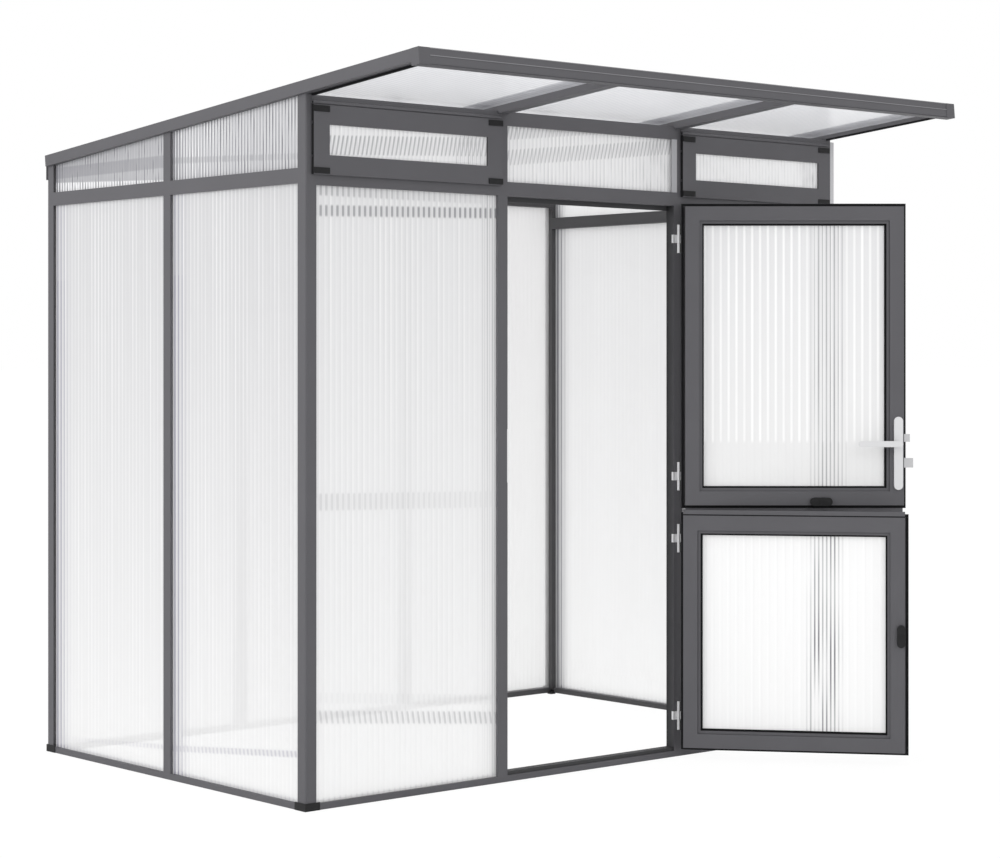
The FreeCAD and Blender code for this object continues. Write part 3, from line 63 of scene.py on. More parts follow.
# %% Set the camera
LENS = 87.58
SENSOR_WIDTH = 36
FRAME_SHIFT = -0.0693
FARTHEST = 600
CAMERA_PLACE = (-5.4548, -6.5861, 1.343)
CAMERA_TURN = (math.radians(90), 0.0, math.radians(-40.85))
camera_data = bpy.data.cameras.new("camera")
camera_data.lens = LENS
camera_data.sensor_width = SENSOR_WIDTH
camera_data.shift_y = FRAME_SHIFT
camera_data.clip_end = FARTHEST
camera = bpy.data.objects.new("camera", camera_data)
camera.location = CAMERA_PLACE
camera.rotation_euler = CAMERA_TURN
bpy.context.scene.collection.objects.link(camera)
bpy.context.scene.camera = camera
bpy.context.scene.view_settings.view_transform = "Standard"
print("lens", LENS, "mm at height", CAMERA_PLACE[2], "m")

# %% [markdown]
# ## Helpers for shader nodes
#
# Materials are small graphs.  Writing every link by hand is long, so a few helpers add a
# node and connect it, do sums, mix colours, and open a new group with named sockets.


# %% Helpers for nodes
def add(tree, kind, links=(), **settings):
    """Adds a node; links pairs an input with a value or with another node's output."""
    made = tree.nodes.new(kind)
    for key, value in settings.items():
        setattr(made, key, value)
    for key, value in dict(links).items():
        socket = made.inputs[key]
        if isinstance(value, bpy.types.NodeSocket):
            tree.links.new(value, socket)
        else:
            socket.default_value = value
    return made


def math_node(tree, operation, *values, clamp=False):
    return add(tree, "ShaderNodeMath", enumerate(values), operation=operation,
               use_clamp=clamp).outputs[0]


def soft_step(tree, value, low, high):
    """0 below low, 1 above high, smooth between them; low may be above high."""
    made = add(tree, "ShaderNodeMapRange", {0: value, 1: low, 2: high},
               interpolation_type="SMOOTHSTEP")
    return made.outputs[0]


def split_xyz(tree, vector):
    return add(tree, "ShaderNodeSeparateXYZ", {0: vector}).outputs


def mixed_color(tree, share, low, high):
    return add(tree, "ShaderNodeMix", {0: share, 6: low, 7: high}, data_type="RGBA").outputs[2]


def new_group(name, inputs, outputs):
    """Opens a shader group from labels with start values and labels with socket kinds."""
    group = bpy.data.node_groups.new(name, "ShaderNodeTree")
    for label, value in inputs:
        kind = "NodeSocketFloat" if isinstance(value, (int, float)) else "NodeSocketColor"
        group.interface.new_socket(label, in_out="INPUT", socket_type=kind).default_value = value
    for label, kind in outputs:
        group.interface.new_socket(label, in_out="OUTPUT", socket_type=kind)
    return group, add(group, "NodeGroupInput"), add(group, "NodeGroupOutput")


def grey(level):
    return (level, level, level, 1.0)


# %% [markdown]
# ## A group for fine surface grain
#
# Powder coat, moulded plastic and rubber all have a fine grain and slow changes of tone.
# The same group serves them all: each material gives its own grain size and strength.

# %% The grain group
grain_group, grain_in, grain_out = new_group(
    "surface grain",
    [("Color", grey(0.5)), ("Grains per metre", 900.0), ("Tone change", 0.06),
     ("Roughness", 0.5), ("Roughness change", 0.08)],
    [("Color", "NodeSocketColor"), ("Roughness", "NodeSocketFloat"), ("Height", "NodeSocketFloat")])
FINE_SHARE = 0.4
SLOW_PER_METRE = 5.0
place = add(grain_group, "ShaderNodeTexCoord").outputs["Object"]
fine = add(grain_group, "ShaderNodeTexNoise",
           {"Vector": place, "Scale": grain_in.outputs["Grains per metre"], "Detail": 3.0}).outputs[0]
slow = add(grain_group, "ShaderNodeTexNoise",
           {"Vector": place, "Scale": SLOW_PER_METRE, "Detail": 2.0}).outputs[0]
both = math_node(grain_group, "ADD", math_node(grain_group, "MULTIPLY", fine, FINE_SHARE),
                 math_node(grain_group, "MULTIPLY", slow, 1.0 - FINE_SHARE))
swing = math_node(grain_group, "SUBTRACT", both, 0.5)
tone = math_node(grain_group, "ADD", 1.0,
                 math_node(grain_group, "MULTIPLY", swing, grain_in.outputs["Tone change"]))
toned = add(grain_group, "ShaderNodeVectorMath",
            {0: grain_in.outputs["Color"], 3: tone}, operation="SCALE").outputs[0]
grain_group.links.new(toned, grain_out.inputs["Color"])
rough_swing = math_node(grain_group, "MULTIPLY", swing, grain_in.outputs["Roughness change"])
rough = math_node(grain_group, "ADD", grain_in.outputs["Roughness"], rough_swing, clamp=True)
grain_group.links.new(rough, grain_out.inputs["Roughness"])
grain_group.links.new(fine, grain_out.inputs["Height"])
print("grain group has", len(grain_group.nodes), "nodes")


# %% Materials that use the grain
GRAIN_STRENGTH = 0.5


def grained(name, color, grains, tone_change, roughness, depth, metallic=0.0, specular=0.5):
    """A finish with grains per metre, a share of tone change and a grain depth in metres."""
    material = bpy.data.materials.new(name)
    material.use_nodes = True
    tree = material.node_tree
    surface = tree.nodes["Principled BSDF"]
    surface.inputs["Metallic"].default_value = metallic
    surface.inputs["Specular IOR Level"].default_value = specular
    pattern = add(tree, "ShaderNodeGroup", node_tree=grain_group)
    pattern.inputs["Color"].default_value = (*color, 1.0)
    pattern.inputs["Grains per metre"].default_value = grains
    pattern.inputs["Tone change"].default_value = tone_change
    pattern.inputs["Roughness"].default_value = roughness
    bump = add(tree, "ShaderNodeBump",
               {"Height": pattern.outputs["Height"], "Distance": depth, "Strength": GRAIN_STRENGTH})
    tree.links.new(pattern.outputs["Color"], surface.inputs["Base Color"])
    tree.links.new(pattern.outputs["Roughness"], surface.inputs["Roughness"])
    tree.links.new(bump.outputs[0], surface.inputs["Normal"])
    return material


# %% [markdown]
# ## Plain finishes
#
# The bars are powder coated aluminium, the feet and catches moulded plastic, the seals
# rubber, and the hinges and the lock plain metal.  One recipe with other numbers serves
# them all: a colour, the grains per metre, the change of tone, roughness and grain depth.

# %% The plain finishes
powder_coat = grained("anthracite powder coat", (0.1, 0.0985, 0.107), grains=1400,
                      tone_change=0.25, roughness=0.55, depth=0.00012, specular=0.3)
black_plastic = grained("black moulded plastic", (0.012, 0.012, 0.013), grains=1100,
                        tone_change=0.3, roughness=0.6, depth=0.0002, specular=0.25)
rubber = grained("black rubber", (0.006, 0.006, 0.007), grains=700,
                 tone_change=0.4, roughness=0.75, depth=0.0002, specular=0.2)
satin_aluminium = grained("satin aluminium", (0.68, 0.68, 0.69), grains=1800,
                          tone_change=0.12, roughness=0.34, depth=0.00008, metallic=0.35)
zinc_steel = grained("zinc plated steel", (0.55, 0.55, 0.56), grains=1500,
                     tone_change=0.3, roughness=0.3, depth=0.0001, metallic=0.8)
brass = grained("brass", (0.62, 0.5, 0.27), grains=1500,
                tone_change=0.25, roughness=0.28, depth=0.0001, metallic=0.9)
pale_trim = grained("pale trim", (0.56, 0.56, 0.58), grains=900,
                    tone_change=0.12, roughness=0.45, depth=0.0001)
FINISHES = {
    "dark_frame": powder_coat,
    "black_plastic": black_plastic,
    "black_rubber": rubber,
    "pale_aluminium": satin_aluminium,
    "pale_trim": pale_trim,
    "steel": zinc_steel,
    "brass": brass,
}
print("plain finishes:", len(FINISHES))

# %% The finishes of thin trims
grey_trim = grained("grey trim", (0.37, 0.37, 0.39), grains=900,
                    tone_change=0.12, roughness=0.45, depth=0.0001)
# Painted highlight: the fascia's beads get a coat paler than the bars, for the light they catch.
painted_bead_highlight = grained("powder coat with a painted highlight", (0.2, 0.198, 0.21), grains=1400,
                     tone_change=0.3, roughness=0.5, depth=0.0001)
# Painted shade: the stop under the head rail gets a coat darker than the bars, for the shade it lies in.
shade_painted_trim = grained("trim with painted shade", (0.05, 0.05, 0.053), grains=1400,
                      tone_change=0.25, roughness=0.55, depth=0.00012, specular=0.25)
print("trims are", grey_trim.name + ",", painted_bead_highlight.name, "and", shade_painted_trim.name)

# %% [markdown]
# ## Finishes with a darker part
#
# Some faces take a colour darker than the coat itself.  On the reveal of the doorway, the
# upstand of the threshold and the inner faces of the right and rear walls, where less light
# reaches, this is painted shade; the left faces of the vent sashes, the narrow faces of the
# leaves and the webs of the hinges are made nearly black.  A mask picks those faces by the
# way they look or by where they are, and mixes the darker colour in.  The mask works in the
# piece's own space, so it stays in place when a door leaf turns.


# %% Darken where a mask says
def darkened(name, base, dark_color, where):
    """A copy of a finish that takes dark_color where the mask built by where(tree) is 1."""
    material = base.copy()
    material.name = name
    tree = material.node_tree
    surface = tree.nodes["Principled BSDF"]
    plain = surface.inputs["Base Color"].links[0].from_socket
    mixed = mixed_color(tree, where(tree), plain, (*dark_color, 1))
    tree.links.new(mixed, surface.inputs["Base Color"])
    return material


def room_point(tree):
    """X, Y and Z of the shaded point, in metres from the middle of the house."""
    return split_xyz(tree, add(tree, "ShaderNodeTexCoord").outputs["Object"])


LOOKS_ALONG = 0.7


def facing(tree, direction):
    """1 on faces that look along direction, wherever their piece has been turned to."""
    normal = add(tree, "ShaderNodeNewGeometry").outputs["True Normal"]
    own = add(tree, "ShaderNodeVectorTransform", {0: normal}, vector_type="NORMAL",
              convert_from="WORLD", convert_to="OBJECT").outputs[0]
    alike = add(tree, "ShaderNodeVectorMath", {0: own, 1: direction}, operation="DOT_PRODUCT")
    return math_node(tree, "GREATER_THAN", alike.outputs["Value"], LOOKS_ALONG)


def faces_left(tree):
    """1 on faces that look to the left."""
    return facing(tree, (-1, 0, 0))


# %% Places read from the frame
def corners(node):
    """A node's lowest and highest corner, rounded to a tenth of a millimetre."""
    return [[round(value, 4) for value in corner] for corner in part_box(node)]


jamb_low, jamb_high = corners("right_door_jamb")
FRONT_WALL = jamb_low[1]
DOORWAY_HALF = jamb_low[0]
JAMB_BACK = jamb_high[1]
hinges = {joint["name"]: joint for joint in frame["joints"]}
HINGE_AXIS = hinges["upper_leaf_hinge"]["pos_m"][:2]
UPPER_TURN = math.radians(-hinges["upper_leaf_hinge"]["range_deg"][0])
LOWER_TURN = math.radians(-hinges["lower_leaf_hinge"]["range_deg"][0])
print("front wall at", FRONT_WALL, "m, leaves hinged at", HINGE_AXIS)

# %% Masks of the house
REVEAL_END = JAMB_BACK + 0.002
REVEAL_START_SHARE = 0.62
RIGHT_WALL_FROM = 1.0
REAR_WALL_FROM = 0.6
SILL_FACE = 0.0202


def reveal(tree):
    """The reveal of the doorway, where shade is painted, deeper towards the back."""
    deep = add(tree, "ShaderNodeMapRange",
               {0: room_point(tree)[1], 1: FRONT_WALL, 2: REVEAL_END, 3: REVEAL_START_SHARE, 4: 1.0})
    return math_node(tree, "MULTIPLY", faces_left(tree), deep.outputs[0])


def indoors(tree):
    """Inner faces of the right and rear walls, where less light comes."""
    point = room_point(tree)
    far_right = math_node(tree, "GREATER_THAN", point[0], RIGHT_WALL_FROM)
    far_back = math_node(tree, "GREATER_THAN", point[1], REAR_WALL_FROM)
    right = math_node(tree, "MULTIPLY", faces_left(tree), far_right)
    rear = math_node(tree, "MULTIPLY", facing(tree, (0, -1, 0)), far_back)
    return math_node(tree, "MAXIMUM", right, rear)


def sill_back(tree):
    """The upstand that rises from the threshold, where shade is painted."""
    return math_node(tree, "GREATER_THAN", room_point(tree)[2], SILL_FACE)


# %% Masks of the leaves
BARREL_RADIUS = 0.0056


def leaf_normal(turn):
    """Outward direction of a leaf that stands open by turn."""
    return Matrix.Rotation(turn, 3, "Z") @ Vector((0, -1, 0))


def rim_of(turn):
    """A mask for the narrow faces of a leaf that stands open by turn."""
    def rim(tree):
        across = leaf_normal(turn)
        away = leaf_normal(turn + math.pi)
        flat = math_node(tree, "MAXIMUM", facing(tree, across), facing(tree, away))
        return math_node(tree, "SUBTRACT", 1.0, flat)
    return rim


def beyond_barrel(tree):
    """1 on the webs that join a knuckle to its leaf."""
    point = room_point(tree)
    across = math_node(tree, "SUBTRACT", point[0], HINGE_AXIS[0])
    along = math_node(tree, "SUBTRACT", point[1], HINGE_AXIS[1])
    flat = add(tree, "ShaderNodeCombineXYZ", {0: across, 1: along}).outputs[0]
    away = add(tree, "ShaderNodeVectorMath", {0: flat}, operation="LENGTH").outputs["Value"]
    return math_node(tree, "GREATER_THAN", away, BARREL_RADIUS)


# %% The darker finishes
DIM = (0.058, 0.057, 0.06)
SILL_SHADE = (0.04, 0.04, 0.042)
RIM_TONE = (0.02, 0.02, 0.022)
REVEAL_SHADE = (0.012, 0.012, 0.013)
WEB_TONE = (0.01, 0.01, 0.01)
NEAR_BLACK = (0.008, 0.008, 0.009)
# Painted shade: the doorway's reveal takes a darker coat, deeper towards the back.
jamb_coat_painted_shade = darkened("powder coat with painted shade in the reveal", powder_coat, REVEAL_SHADE, reveal)
# The left faces of the vent sashes are made nearly black.
sash_coat = darkened("powder coat with near-black left faces", powder_coat, NEAR_BLACK, faces_left)
inner_coat = darkened("powder coat dimmer indoors", powder_coat, DIM, indoors)
# Painted shade: the threshold's upstand takes a darker coat.
sill_coat_painted_shade = darkened("powder coat with painted shade on the upstand", powder_coat, SILL_SHADE, sill_back)
upper_coat = darkened("powder coat of the upper leaf", powder_coat, RIM_TONE, rim_of(UPPER_TURN))
lower_coat = darkened("powder coat of the lower leaf", powder_coat, RIM_TONE, rim_of(LOWER_TURN))
knuckle_metal = darkened("knuckle metal", satin_aluminium, WEB_TONE, beyond_barrel)
OWN_FINISH = {
    "right_door_jamb": jamb_coat_painted_shade,
    "left_vent_sash": sash_coat,
    "right_vent_sash": sash_coat,
    "door_threshold": sill_coat_painted_shade,
    "upper_leaf_hinges": knuckle_metal,
    "lower_leaf_hinges": knuckle_metal,
    "upper_catch_pin": black_plastic,
    "lower_catch_pin": black_plastic,
    **dict.fromkeys(["upper_leaf_stiles", "upper_leaf_rails", "upper_leaf_beads"], upper_coat),
    **dict.fromkeys(["lower_leaf_stiles", "lower_leaf_rails", "lower_leaf_beads"], lower_coat),
    **dict.fromkeys(["side_mid_rails", "base_rails", "rear_eaves_rail"], inner_coat),
}
print("finishes of single nodes:", len(OWN_FINISH))

# %% [markdown]
# ## The look of twin-wall sheet
#
# Twin-wall polycarbonate is two clear skins joined by upright ribs.  Each rib bends what
# lies behind it, so the sheet looks milky with fine upright lines, and a rail behind it
# turns into a row of short dashes.  Real refraction through hundreds of ribs is slow and
# noisy.  We draw the lines from a coordinate that Geometry Nodes stores on each sheet:
# its first number counts ribs, the second is the share of the width, the third of the height.

# %% Open the rib pattern group
rib_group, rib_in, rib_out = new_group(
    "rib pattern",
    [("Line width", 0.2), ("Dark lines", 0.1), ("Light lines", 0.1), ("Light from", -1.0),
     ("Edge ribs", 4.0), ("Edge lines", 0.5), ("Edge change height", 9.0),
     ("Edge lines above", 0.5), ("Zone middle", -9.0), ("Zone half", 0.1),
     ("Zone lines", 0.0), ("Foot lines", 0.0), ("Unevenness", 1.0)],
    [("Dark", "NodeSocketFloat"), ("Light", "NodeSocketFloat"), ("Count", "NodeSocketFloat"),
     ("Across", "NodeSocketFloat"), ("Up", "NodeSocketFloat")])
ask = rib_in.outputs
stored = add(rib_group, "ShaderNodeAttribute", attribute_name="pane").outputs["Vector"]
ribs_along, across, up = split_xyz(rib_group, stored)
above_ground = room_point(rib_group)[2]


def rib_math(operation, *values, clamp=False):
    return math_node(rib_group, operation, *values, clamp=clamp)


# %% Lines and gleams of single ribs
GLEAM_PLACE = 0.3
GLEAM_CORE = 0.02
cell = rib_math("FRACT", ribs_along)
off_middle = rib_math("ABSOLUTE", rib_math("SUBTRACT", cell, 0.5))
line = soft_step(rib_group, off_middle, rib_math("SUBTRACT", 0.5, ask["Line width"]), 0.5)
off_gleam = rib_math("ABSOLUTE", rib_math("SUBTRACT", cell, GLEAM_PLACE))
gleam = soft_step(rib_group, off_gleam, ask["Line width"], GLEAM_CORE)
print("lines and gleams take", len(rib_group.nodes), "nodes so far")

# %% Uneven strength from rib to rib
NOISE_PER_RIB = 0.731
NOISE_UP = 1.7
rib_number = rib_math("FLOOR", rib_math("ADD", ribs_along, 0.5))
spot = add(rib_group, "ShaderNodeCombineXYZ",
           {0: rib_math("MULTIPLY", rib_number, NOISE_PER_RIB),
            1: rib_math("MULTIPLY", up, NOISE_UP)}).outputs[0]
noise = add(rib_group, "ShaderNodeTexNoise", {"Vector": spot, "Scale": 1.0, "Detail": 1.0}).outputs[0]
spread = rib_math("MULTIPLY_ADD", noise, 4.0, -2.0)
chance = rib_math("ADD", 1.0, rib_math("MULTIPLY", spread, ask["Unevenness"]))
chance = rib_math("MAXIMUM", chance, 0.0)
print("with uneven strength", len(rib_group.nodes), "nodes")

# %% Stronger lines at one edge, at the foot and in a zone
EDGE_FULL_AT = 0.3
EDGE_CHANGE_FADE = 0.005
ZONE_CORE = 0.4
FOOT_END = 0.013
FOOT_FULL = 0.009
FINE_PER_RIB = 2.0
FINE_SHIFT = 0.3
FINE_START = 0.22
FINE_FULL = 0.44
near_edge = soft_step(rib_group, ribs_along, ask["Edge ribs"], EDGE_FULL_AT)
change = ask["Edge change height"]
high_up = soft_step(rib_group, above_ground, rib_math("SUBTRACT", change, EDGE_CHANGE_FADE), change)
edge_depth = add(rib_group, "ShaderNodeMix",
                 {0: high_up, 2: ask["Edge lines"], 3: ask["Edge lines above"]}).outputs[0]
off_zone = rib_math("ABSOLUTE", rib_math("SUBTRACT", across, ask["Zone middle"]))
in_zone = soft_step(rib_group, off_zone, ask["Zone half"],
                    rib_math("MULTIPLY", ask["Zone half"], ZONE_CORE))
at_foot = soft_step(rib_group, up, FOOT_END, FOOT_FULL)
dark = rib_math("ADD", rib_math("MULTIPLY", ask["Dark lines"], chance),
                rib_math("ADD", rib_math("MULTIPLY", near_edge, edge_depth),
                         rib_math("MULTIPLY", at_foot, ask["Foot lines"])))
fine_cell = rib_math("FRACT", rib_math("MULTIPLY_ADD", ribs_along, FINE_PER_RIB, FINE_SHIFT))
off_fine = rib_math("ABSOLUTE", rib_math("SUBTRACT", fine_cell, 0.5))
fine_line = soft_step(rib_group, off_fine, FINE_START, FINE_FULL)
fine = rib_math("MULTIPLY", rib_math("MULTIPLY", in_zone, ask["Zone lines"]),
                rib_math("MULTIPLY", fine_line, chance))
print("with edge, foot and zone", len(rib_group.nodes), "nodes")

# %% Close the rib pattern group
LIGHT_FADE = 0.02
lit = soft_step(rib_group, up, ask["Light from"], rib_math("ADD", ask["Light from"], LIGHT_FADE))
light = rib_math("MULTIPLY", rib_math("MULTIPLY", gleam, lit),
                 rib_math("MULTIPLY", ask["Light lines"], chance), clamp=True)
rib_group.links.new(rib_math("MULTIPLY_ADD", line, dark, fine, clamp=True), rib_out.inputs["Dark"])
rib_group.links.new(light, rib_out.inputs["Light"])
rib_group.links.new(ribs_along, rib_out.inputs["Count"])
rib_group.links.new(across, rib_out.inputs["Across"])
rib_group.links.new(up, rib_out.inputs["Up"])
print("rib pattern has", len(rib_group.nodes), "nodes")

# %% The dash row group
# A row lies at a height that may rise across the sheet; its dashes follow the ribs.
dash_group, dash_in, dash_out = new_group(
    "dash row",
    [("Height", 1.0), ("Rise", 0.0), ("Half height", 0.02), ("Edge", 0.009), ("Slant", 0.0),
     ("Width", 0.4), ("Depth", 0.4), ("Depth at far side", 0.4), ("Count", 0.0), ("Across", 0.0)],
    [("Dark", "NodeSocketFloat")])
want = dash_in.outputs
DASH_FADE = (0.65, 0.35)


def dash_math(operation, *values):
    return math_node(dash_group, operation, *values)


row_level = dash_math("MULTIPLY_ADD", want["Across"], want["Rise"], want["Height"])
from_row = dash_math("SUBTRACT", room_point(dash_group)[2], row_level)
in_row = soft_step(dash_group, dash_math("ABSOLUTE", from_row), want["Half height"],
                   dash_math("SUBTRACT", want["Half height"], want["Edge"]))
slid = dash_math("FRACT", dash_math("MULTIPLY_ADD", from_row, want["Slant"], want["Count"]))
off_dash = dash_math("ABSOLUTE", dash_math("SUBTRACT", slid, 0.5))
dash_ends = [dash_math("MULTIPLY", want["Width"], share) for share in DASH_FADE]
on_dash = soft_step(dash_group, off_dash, *dash_ends)
depth = add(dash_group, "ShaderNodeMix",
            {0: want["Across"], 2: want["Depth"], 3: want["Depth at far side"]}).outputs[0]
dash = dash_math("MULTIPLY", dash_math("MULTIPLY", on_dash, in_row), depth)
dash_group.links.new(dash, dash_out.inputs["Dark"])
print("dash row has", len(dash_group.nodes), "nodes")

# %% [markdown]
# ## Sheet materials
#
# A clear sheet darkens nothing behind it, so lamps and bounced light must pass.  Light
# Path tells which kind of ray asks: shadow and diffuse rays meet a clear surface, and the
# eye meets the milky one.  The tone runs from a top colour to a bottom colour, which is
# paler on most sheets, as the bright floor shines up into them.


# %% Make a sheet material
SHEET_IOR = 1.4
LINE_DEPTH = 0.0003
LINE_STRENGTH = 0.3
DEEP_GREY = (0.13, 0.125, 0.15)


def sheet_material(name, top, bottom, alpha, roughness, pattern, rows=(), dark=DEEP_GREY,
                   fall=1.0, foot_alpha=None):
    """A milky ribbed sheet; fall bends the change from bottom to top, alpha is its density."""
    material = bpy.data.materials.new(name)
    material.use_nodes = True
    tree = material.node_tree
    surface = tree.nodes["Principled BSDF"]
    surface.inputs["Roughness"].default_value = roughness
    surface.inputs["IOR"].default_value = SHEET_IOR
    ribs = add(tree, "ShaderNodeGroup", pattern, node_tree=rib_group).outputs
    darkness = ribs["Dark"]
    for values in rows:
        where = {**values, "Count": ribs["Count"], "Across": ribs["Across"]}
        dashes = add(tree, "ShaderNodeGroup", where, node_tree=dash_group)
        darkness = math_node(tree, "MAXIMUM", darkness, dashes.outputs["Dark"])
    climb = math_node(tree, "POWER", ribs["Up"], fall)
    if foot_alpha is None:
        foot_alpha = alpha
    body = add(tree, "ShaderNodeMapRange", {0: climb, 3: foot_alpha, 4: alpha}).outputs[0]
    clear_share = math_node(tree, "SUBTRACT", 1.0, body)
    denser = math_node(tree, "MULTIPLY_ADD", darkness, clear_share, body)
    tree.links.new(denser, surface.inputs["Alpha"])
    tone = mixed_color(tree, climb, (*bottom, 1), (*top, 1))
    gleaming = mixed_color(tree, ribs["Light"], tone, (1, 1, 1, 1))
    tinted = mixed_color(tree, darkness, gleaming, (*dark, 1))
    tree.links.new(tinted, surface.inputs["Base Color"])
    bump = add(tree, "ShaderNodeBump",
               {"Height": darkness, "Distance": LINE_DEPTH, "Strength": LINE_STRENGTH})
    tree.links.new(bump.outputs[0], surface.inputs["Normal"])
    asks = add(tree, "ShaderNodeLightPath").outputs
    passing = math_node(tree, "MAXIMUM", asks["Is Shadow Ray"], asks["Is Diffuse Ray"])
    clear = add(tree, "ShaderNodeBsdfTransparent")
    both = add(tree, "ShaderNodeMixShader", {0: passing, 1: surface.outputs[0], 2: clear.outputs[0]})
    tree.links.new(both.outputs[0], tree.nodes["Material Output"].inputs["Surface"])
    return material


def row(height, half_height, depth, far_depth=None, rise=0.0, slant=0.0, width=0.4, edge=0.009):
    """A rail seen through a sheet; rise lifts its far end, slant leans its dashes."""
    return {"Height": height, "Half height": half_height, "Depth": depth, "Edge": edge,
            "Depth at far side": depth if far_depth is None else far_depth,
            "Rise": rise, "Slant": slant, "Width": width}


# %% [markdown]
# ## A finish for each sheet
#
# All sheets of the house are the same plastic, but each stands at its own angle to the
# camera and has other rails behind it.  If every rib bent the light for real, one material
# would do; drawn lines need numbers for each sheet.  A row is a rail behind the sheet, and
# edge lines darken the first ribs beside a bar.  The tones from top to bottom differ from
# sheet to sheet as well: these lighter and darker copies of the one plastic are painted
# light and shade.

# %% Finishes of the side walls
PURPLE = (0.2, 0.19, 0.27)
SLATE = (0.1, 0.1, 0.12)
SIDE_PATTERN = {"Line width": 0.3, "Dark lines": 0.04, "Light lines": 0.2, "Edge lines": 1.0,
                "Edge change height": 1.615, "Edge lines above": 0.75, "Edge ribs": 6.0,
                "Foot lines": 0.3}
FAINT_ROW = row(1.5, 0.02, 0.02)
left_rear_sheet = sheet_material(
    "ribbed left rear sheet", top=(0.55, 0.55, 0.56), bottom=(0.84, 0.84, 0.84),
    alpha=0.9, roughness=0.35, pattern=SIDE_PATTERN,
    rows=[row(0.05, 0.011, 0.1, far_depth=0.35, rise=0.05, width=0.5, edge=0.006), FAINT_ROW],
    dark=PURPLE, fall=0.6, foot_alpha=0.6)
left_front_sheet = sheet_material(
    "ribbed left front sheet", top=(0.55, 0.55, 0.56), bottom=(0.84, 0.84, 0.84),
    alpha=0.9, roughness=0.35, pattern=SIDE_PATTERN,
    rows=[row(0.099, 0.013, 0.35, far_depth=0.5, rise=0.067, slant=9.0, width=0.5, edge=0.006),
          FAINT_ROW],
    dark=PURPLE, fall=0.6, foot_alpha=0.6)
right_sheet = sheet_material(
    "ribbed right wall sheet", top=(0.8, 0.8, 0.81), bottom=(1.0, 1.0, 1.0),
    alpha=0.62, roughness=0.35,
    pattern={"Line width": 0.4, "Dark lines": 0.03, "Light lines": 0.15, "Edge lines": 1.2,
             "Edge ribs": 5.0, "Foot lines": 0.2},
    rows=[row(0.117, 0.018, 0.05)], dark=SLATE, fall=0.5, foot_alpha=0.35)
print("side wall finishes made, the last is", right_sheet.name)

# %% Finishes of the rear and front walls
INK = (0.16, 0.16, 0.18)
rear_sheet = sheet_material(
    "ribbed rear wall sheet", top=(0.94, 0.93, 0.94), bottom=(1.0, 1.0, 1.0),
    alpha=0.5, roughness=0.35,
    pattern={"Line width": 0.3, "Dark lines": 0.03, "Light lines": 0.25, "Edge lines": 0.1,
             "Edge ribs": 2.0},
    foot_alpha=0.35)
front_sheet = sheet_material(
    "ribbed front sheet", top=(0.77, 0.77, 0.78), bottom=(1.0, 1.0, 1.0),
    alpha=0.88, roughness=0.35,
    pattern={"Line width": 0.3, "Dark lines": 0.06, "Light lines": 0.3, "Edge lines": 0.05,
             "Foot lines": 0.25, "Edge ribs": 2.0, "Zone middle": 0.98, "Zone half": 0.1,
             "Zone lines": 0.3},
    rows=[row(1.858, 0.028, 0.5, far_depth=0.12, width=0.45),
          row(1.788, 0.021, 0.62, far_depth=0.75, rise=0.02, width=0.45),
          row(0.918, 0.03, 0.25, far_depth=0.12, rise=-0.018, width=0.5),
          row(0.278, 0.024, 0.34, far_depth=0.5, rise=-0.072, slant=8.0),
          row(0.335, 0.02, 0.08, far_depth=0.16, rise=-0.072, width=0.5)],
    dark=INK, fall=0.6, foot_alpha=0.6)
print("made", rear_sheet.name, "and", front_sheet.name)

# %% Finishes over the door and in the vents
over_door_finish = sheet_material(
    "ribbed sheet over the door", top=(0.84, 0.84, 0.85), bottom=(0.86, 0.86, 0.87),
    alpha=0.9, roughness=0.3,
    pattern={"Line width": 0.35, "Dark lines": 0.2, "Light lines": 0.5, "Edge lines": 0.1,
             "Edge ribs": 2.0, "Zone middle": 1.0, "Zone half": 0.25, "Zone lines": 0.25},
    rows=[row(2.064, 0.026, 0.5, far_depth=0.3, rise=0.077, slant=-14.0),
          row(1.986, 0.03, 0.42, far_depth=0.55, rise=0.077, slant=-14.0)],
    dark=INK)
left_vent_finish = sheet_material(
    "ribbed left vent sheet", top=(0.84, 0.84, 0.85), bottom=(0.86, 0.86, 0.87),
    alpha=0.9, roughness=0.3,
    pattern={"Line width": 0.35, "Dark lines": 0.12, "Light lines": 0.4, "Edge lines": 0.0,
             "Zone middle": 1.0, "Zone half": 0.3, "Zone lines": 0.35},
    rows=[row(1.984, 0.034, 0.6, far_depth=0.5, rise=0.03, slant=-12.0)],
    dark=INK)
# Painted light: the right vent's sheet is paler than the left one, as more light reaches it beside the right wall.
right_vent_finish = sheet_material(
    "ribbed right vent sheet", top=(0.97, 0.97, 0.98), bottom=(0.98, 0.98, 0.99),
    alpha=0.8, roughness=0.3,
    pattern={"Line width": 0.3, "Dark lines": 0.14, "Light lines": 0.4, "Edge lines": 0.12,
             "Edge ribs": 12.0, "Zone middle": 0.97, "Zone half": 0.16, "Zone lines": 0.4},
    dark=INK)
print("made", over_door_finish.name + ",", left_vent_finish.name, "and", right_vent_finish.name)

# %% Finishes of the gables
GABLE_PATTERN = {"Line width": 0.4, "Dark lines": 0.55, "Light lines": 0.55, "Edge lines": 0.9,
                 "Edge ribs": 6.0}
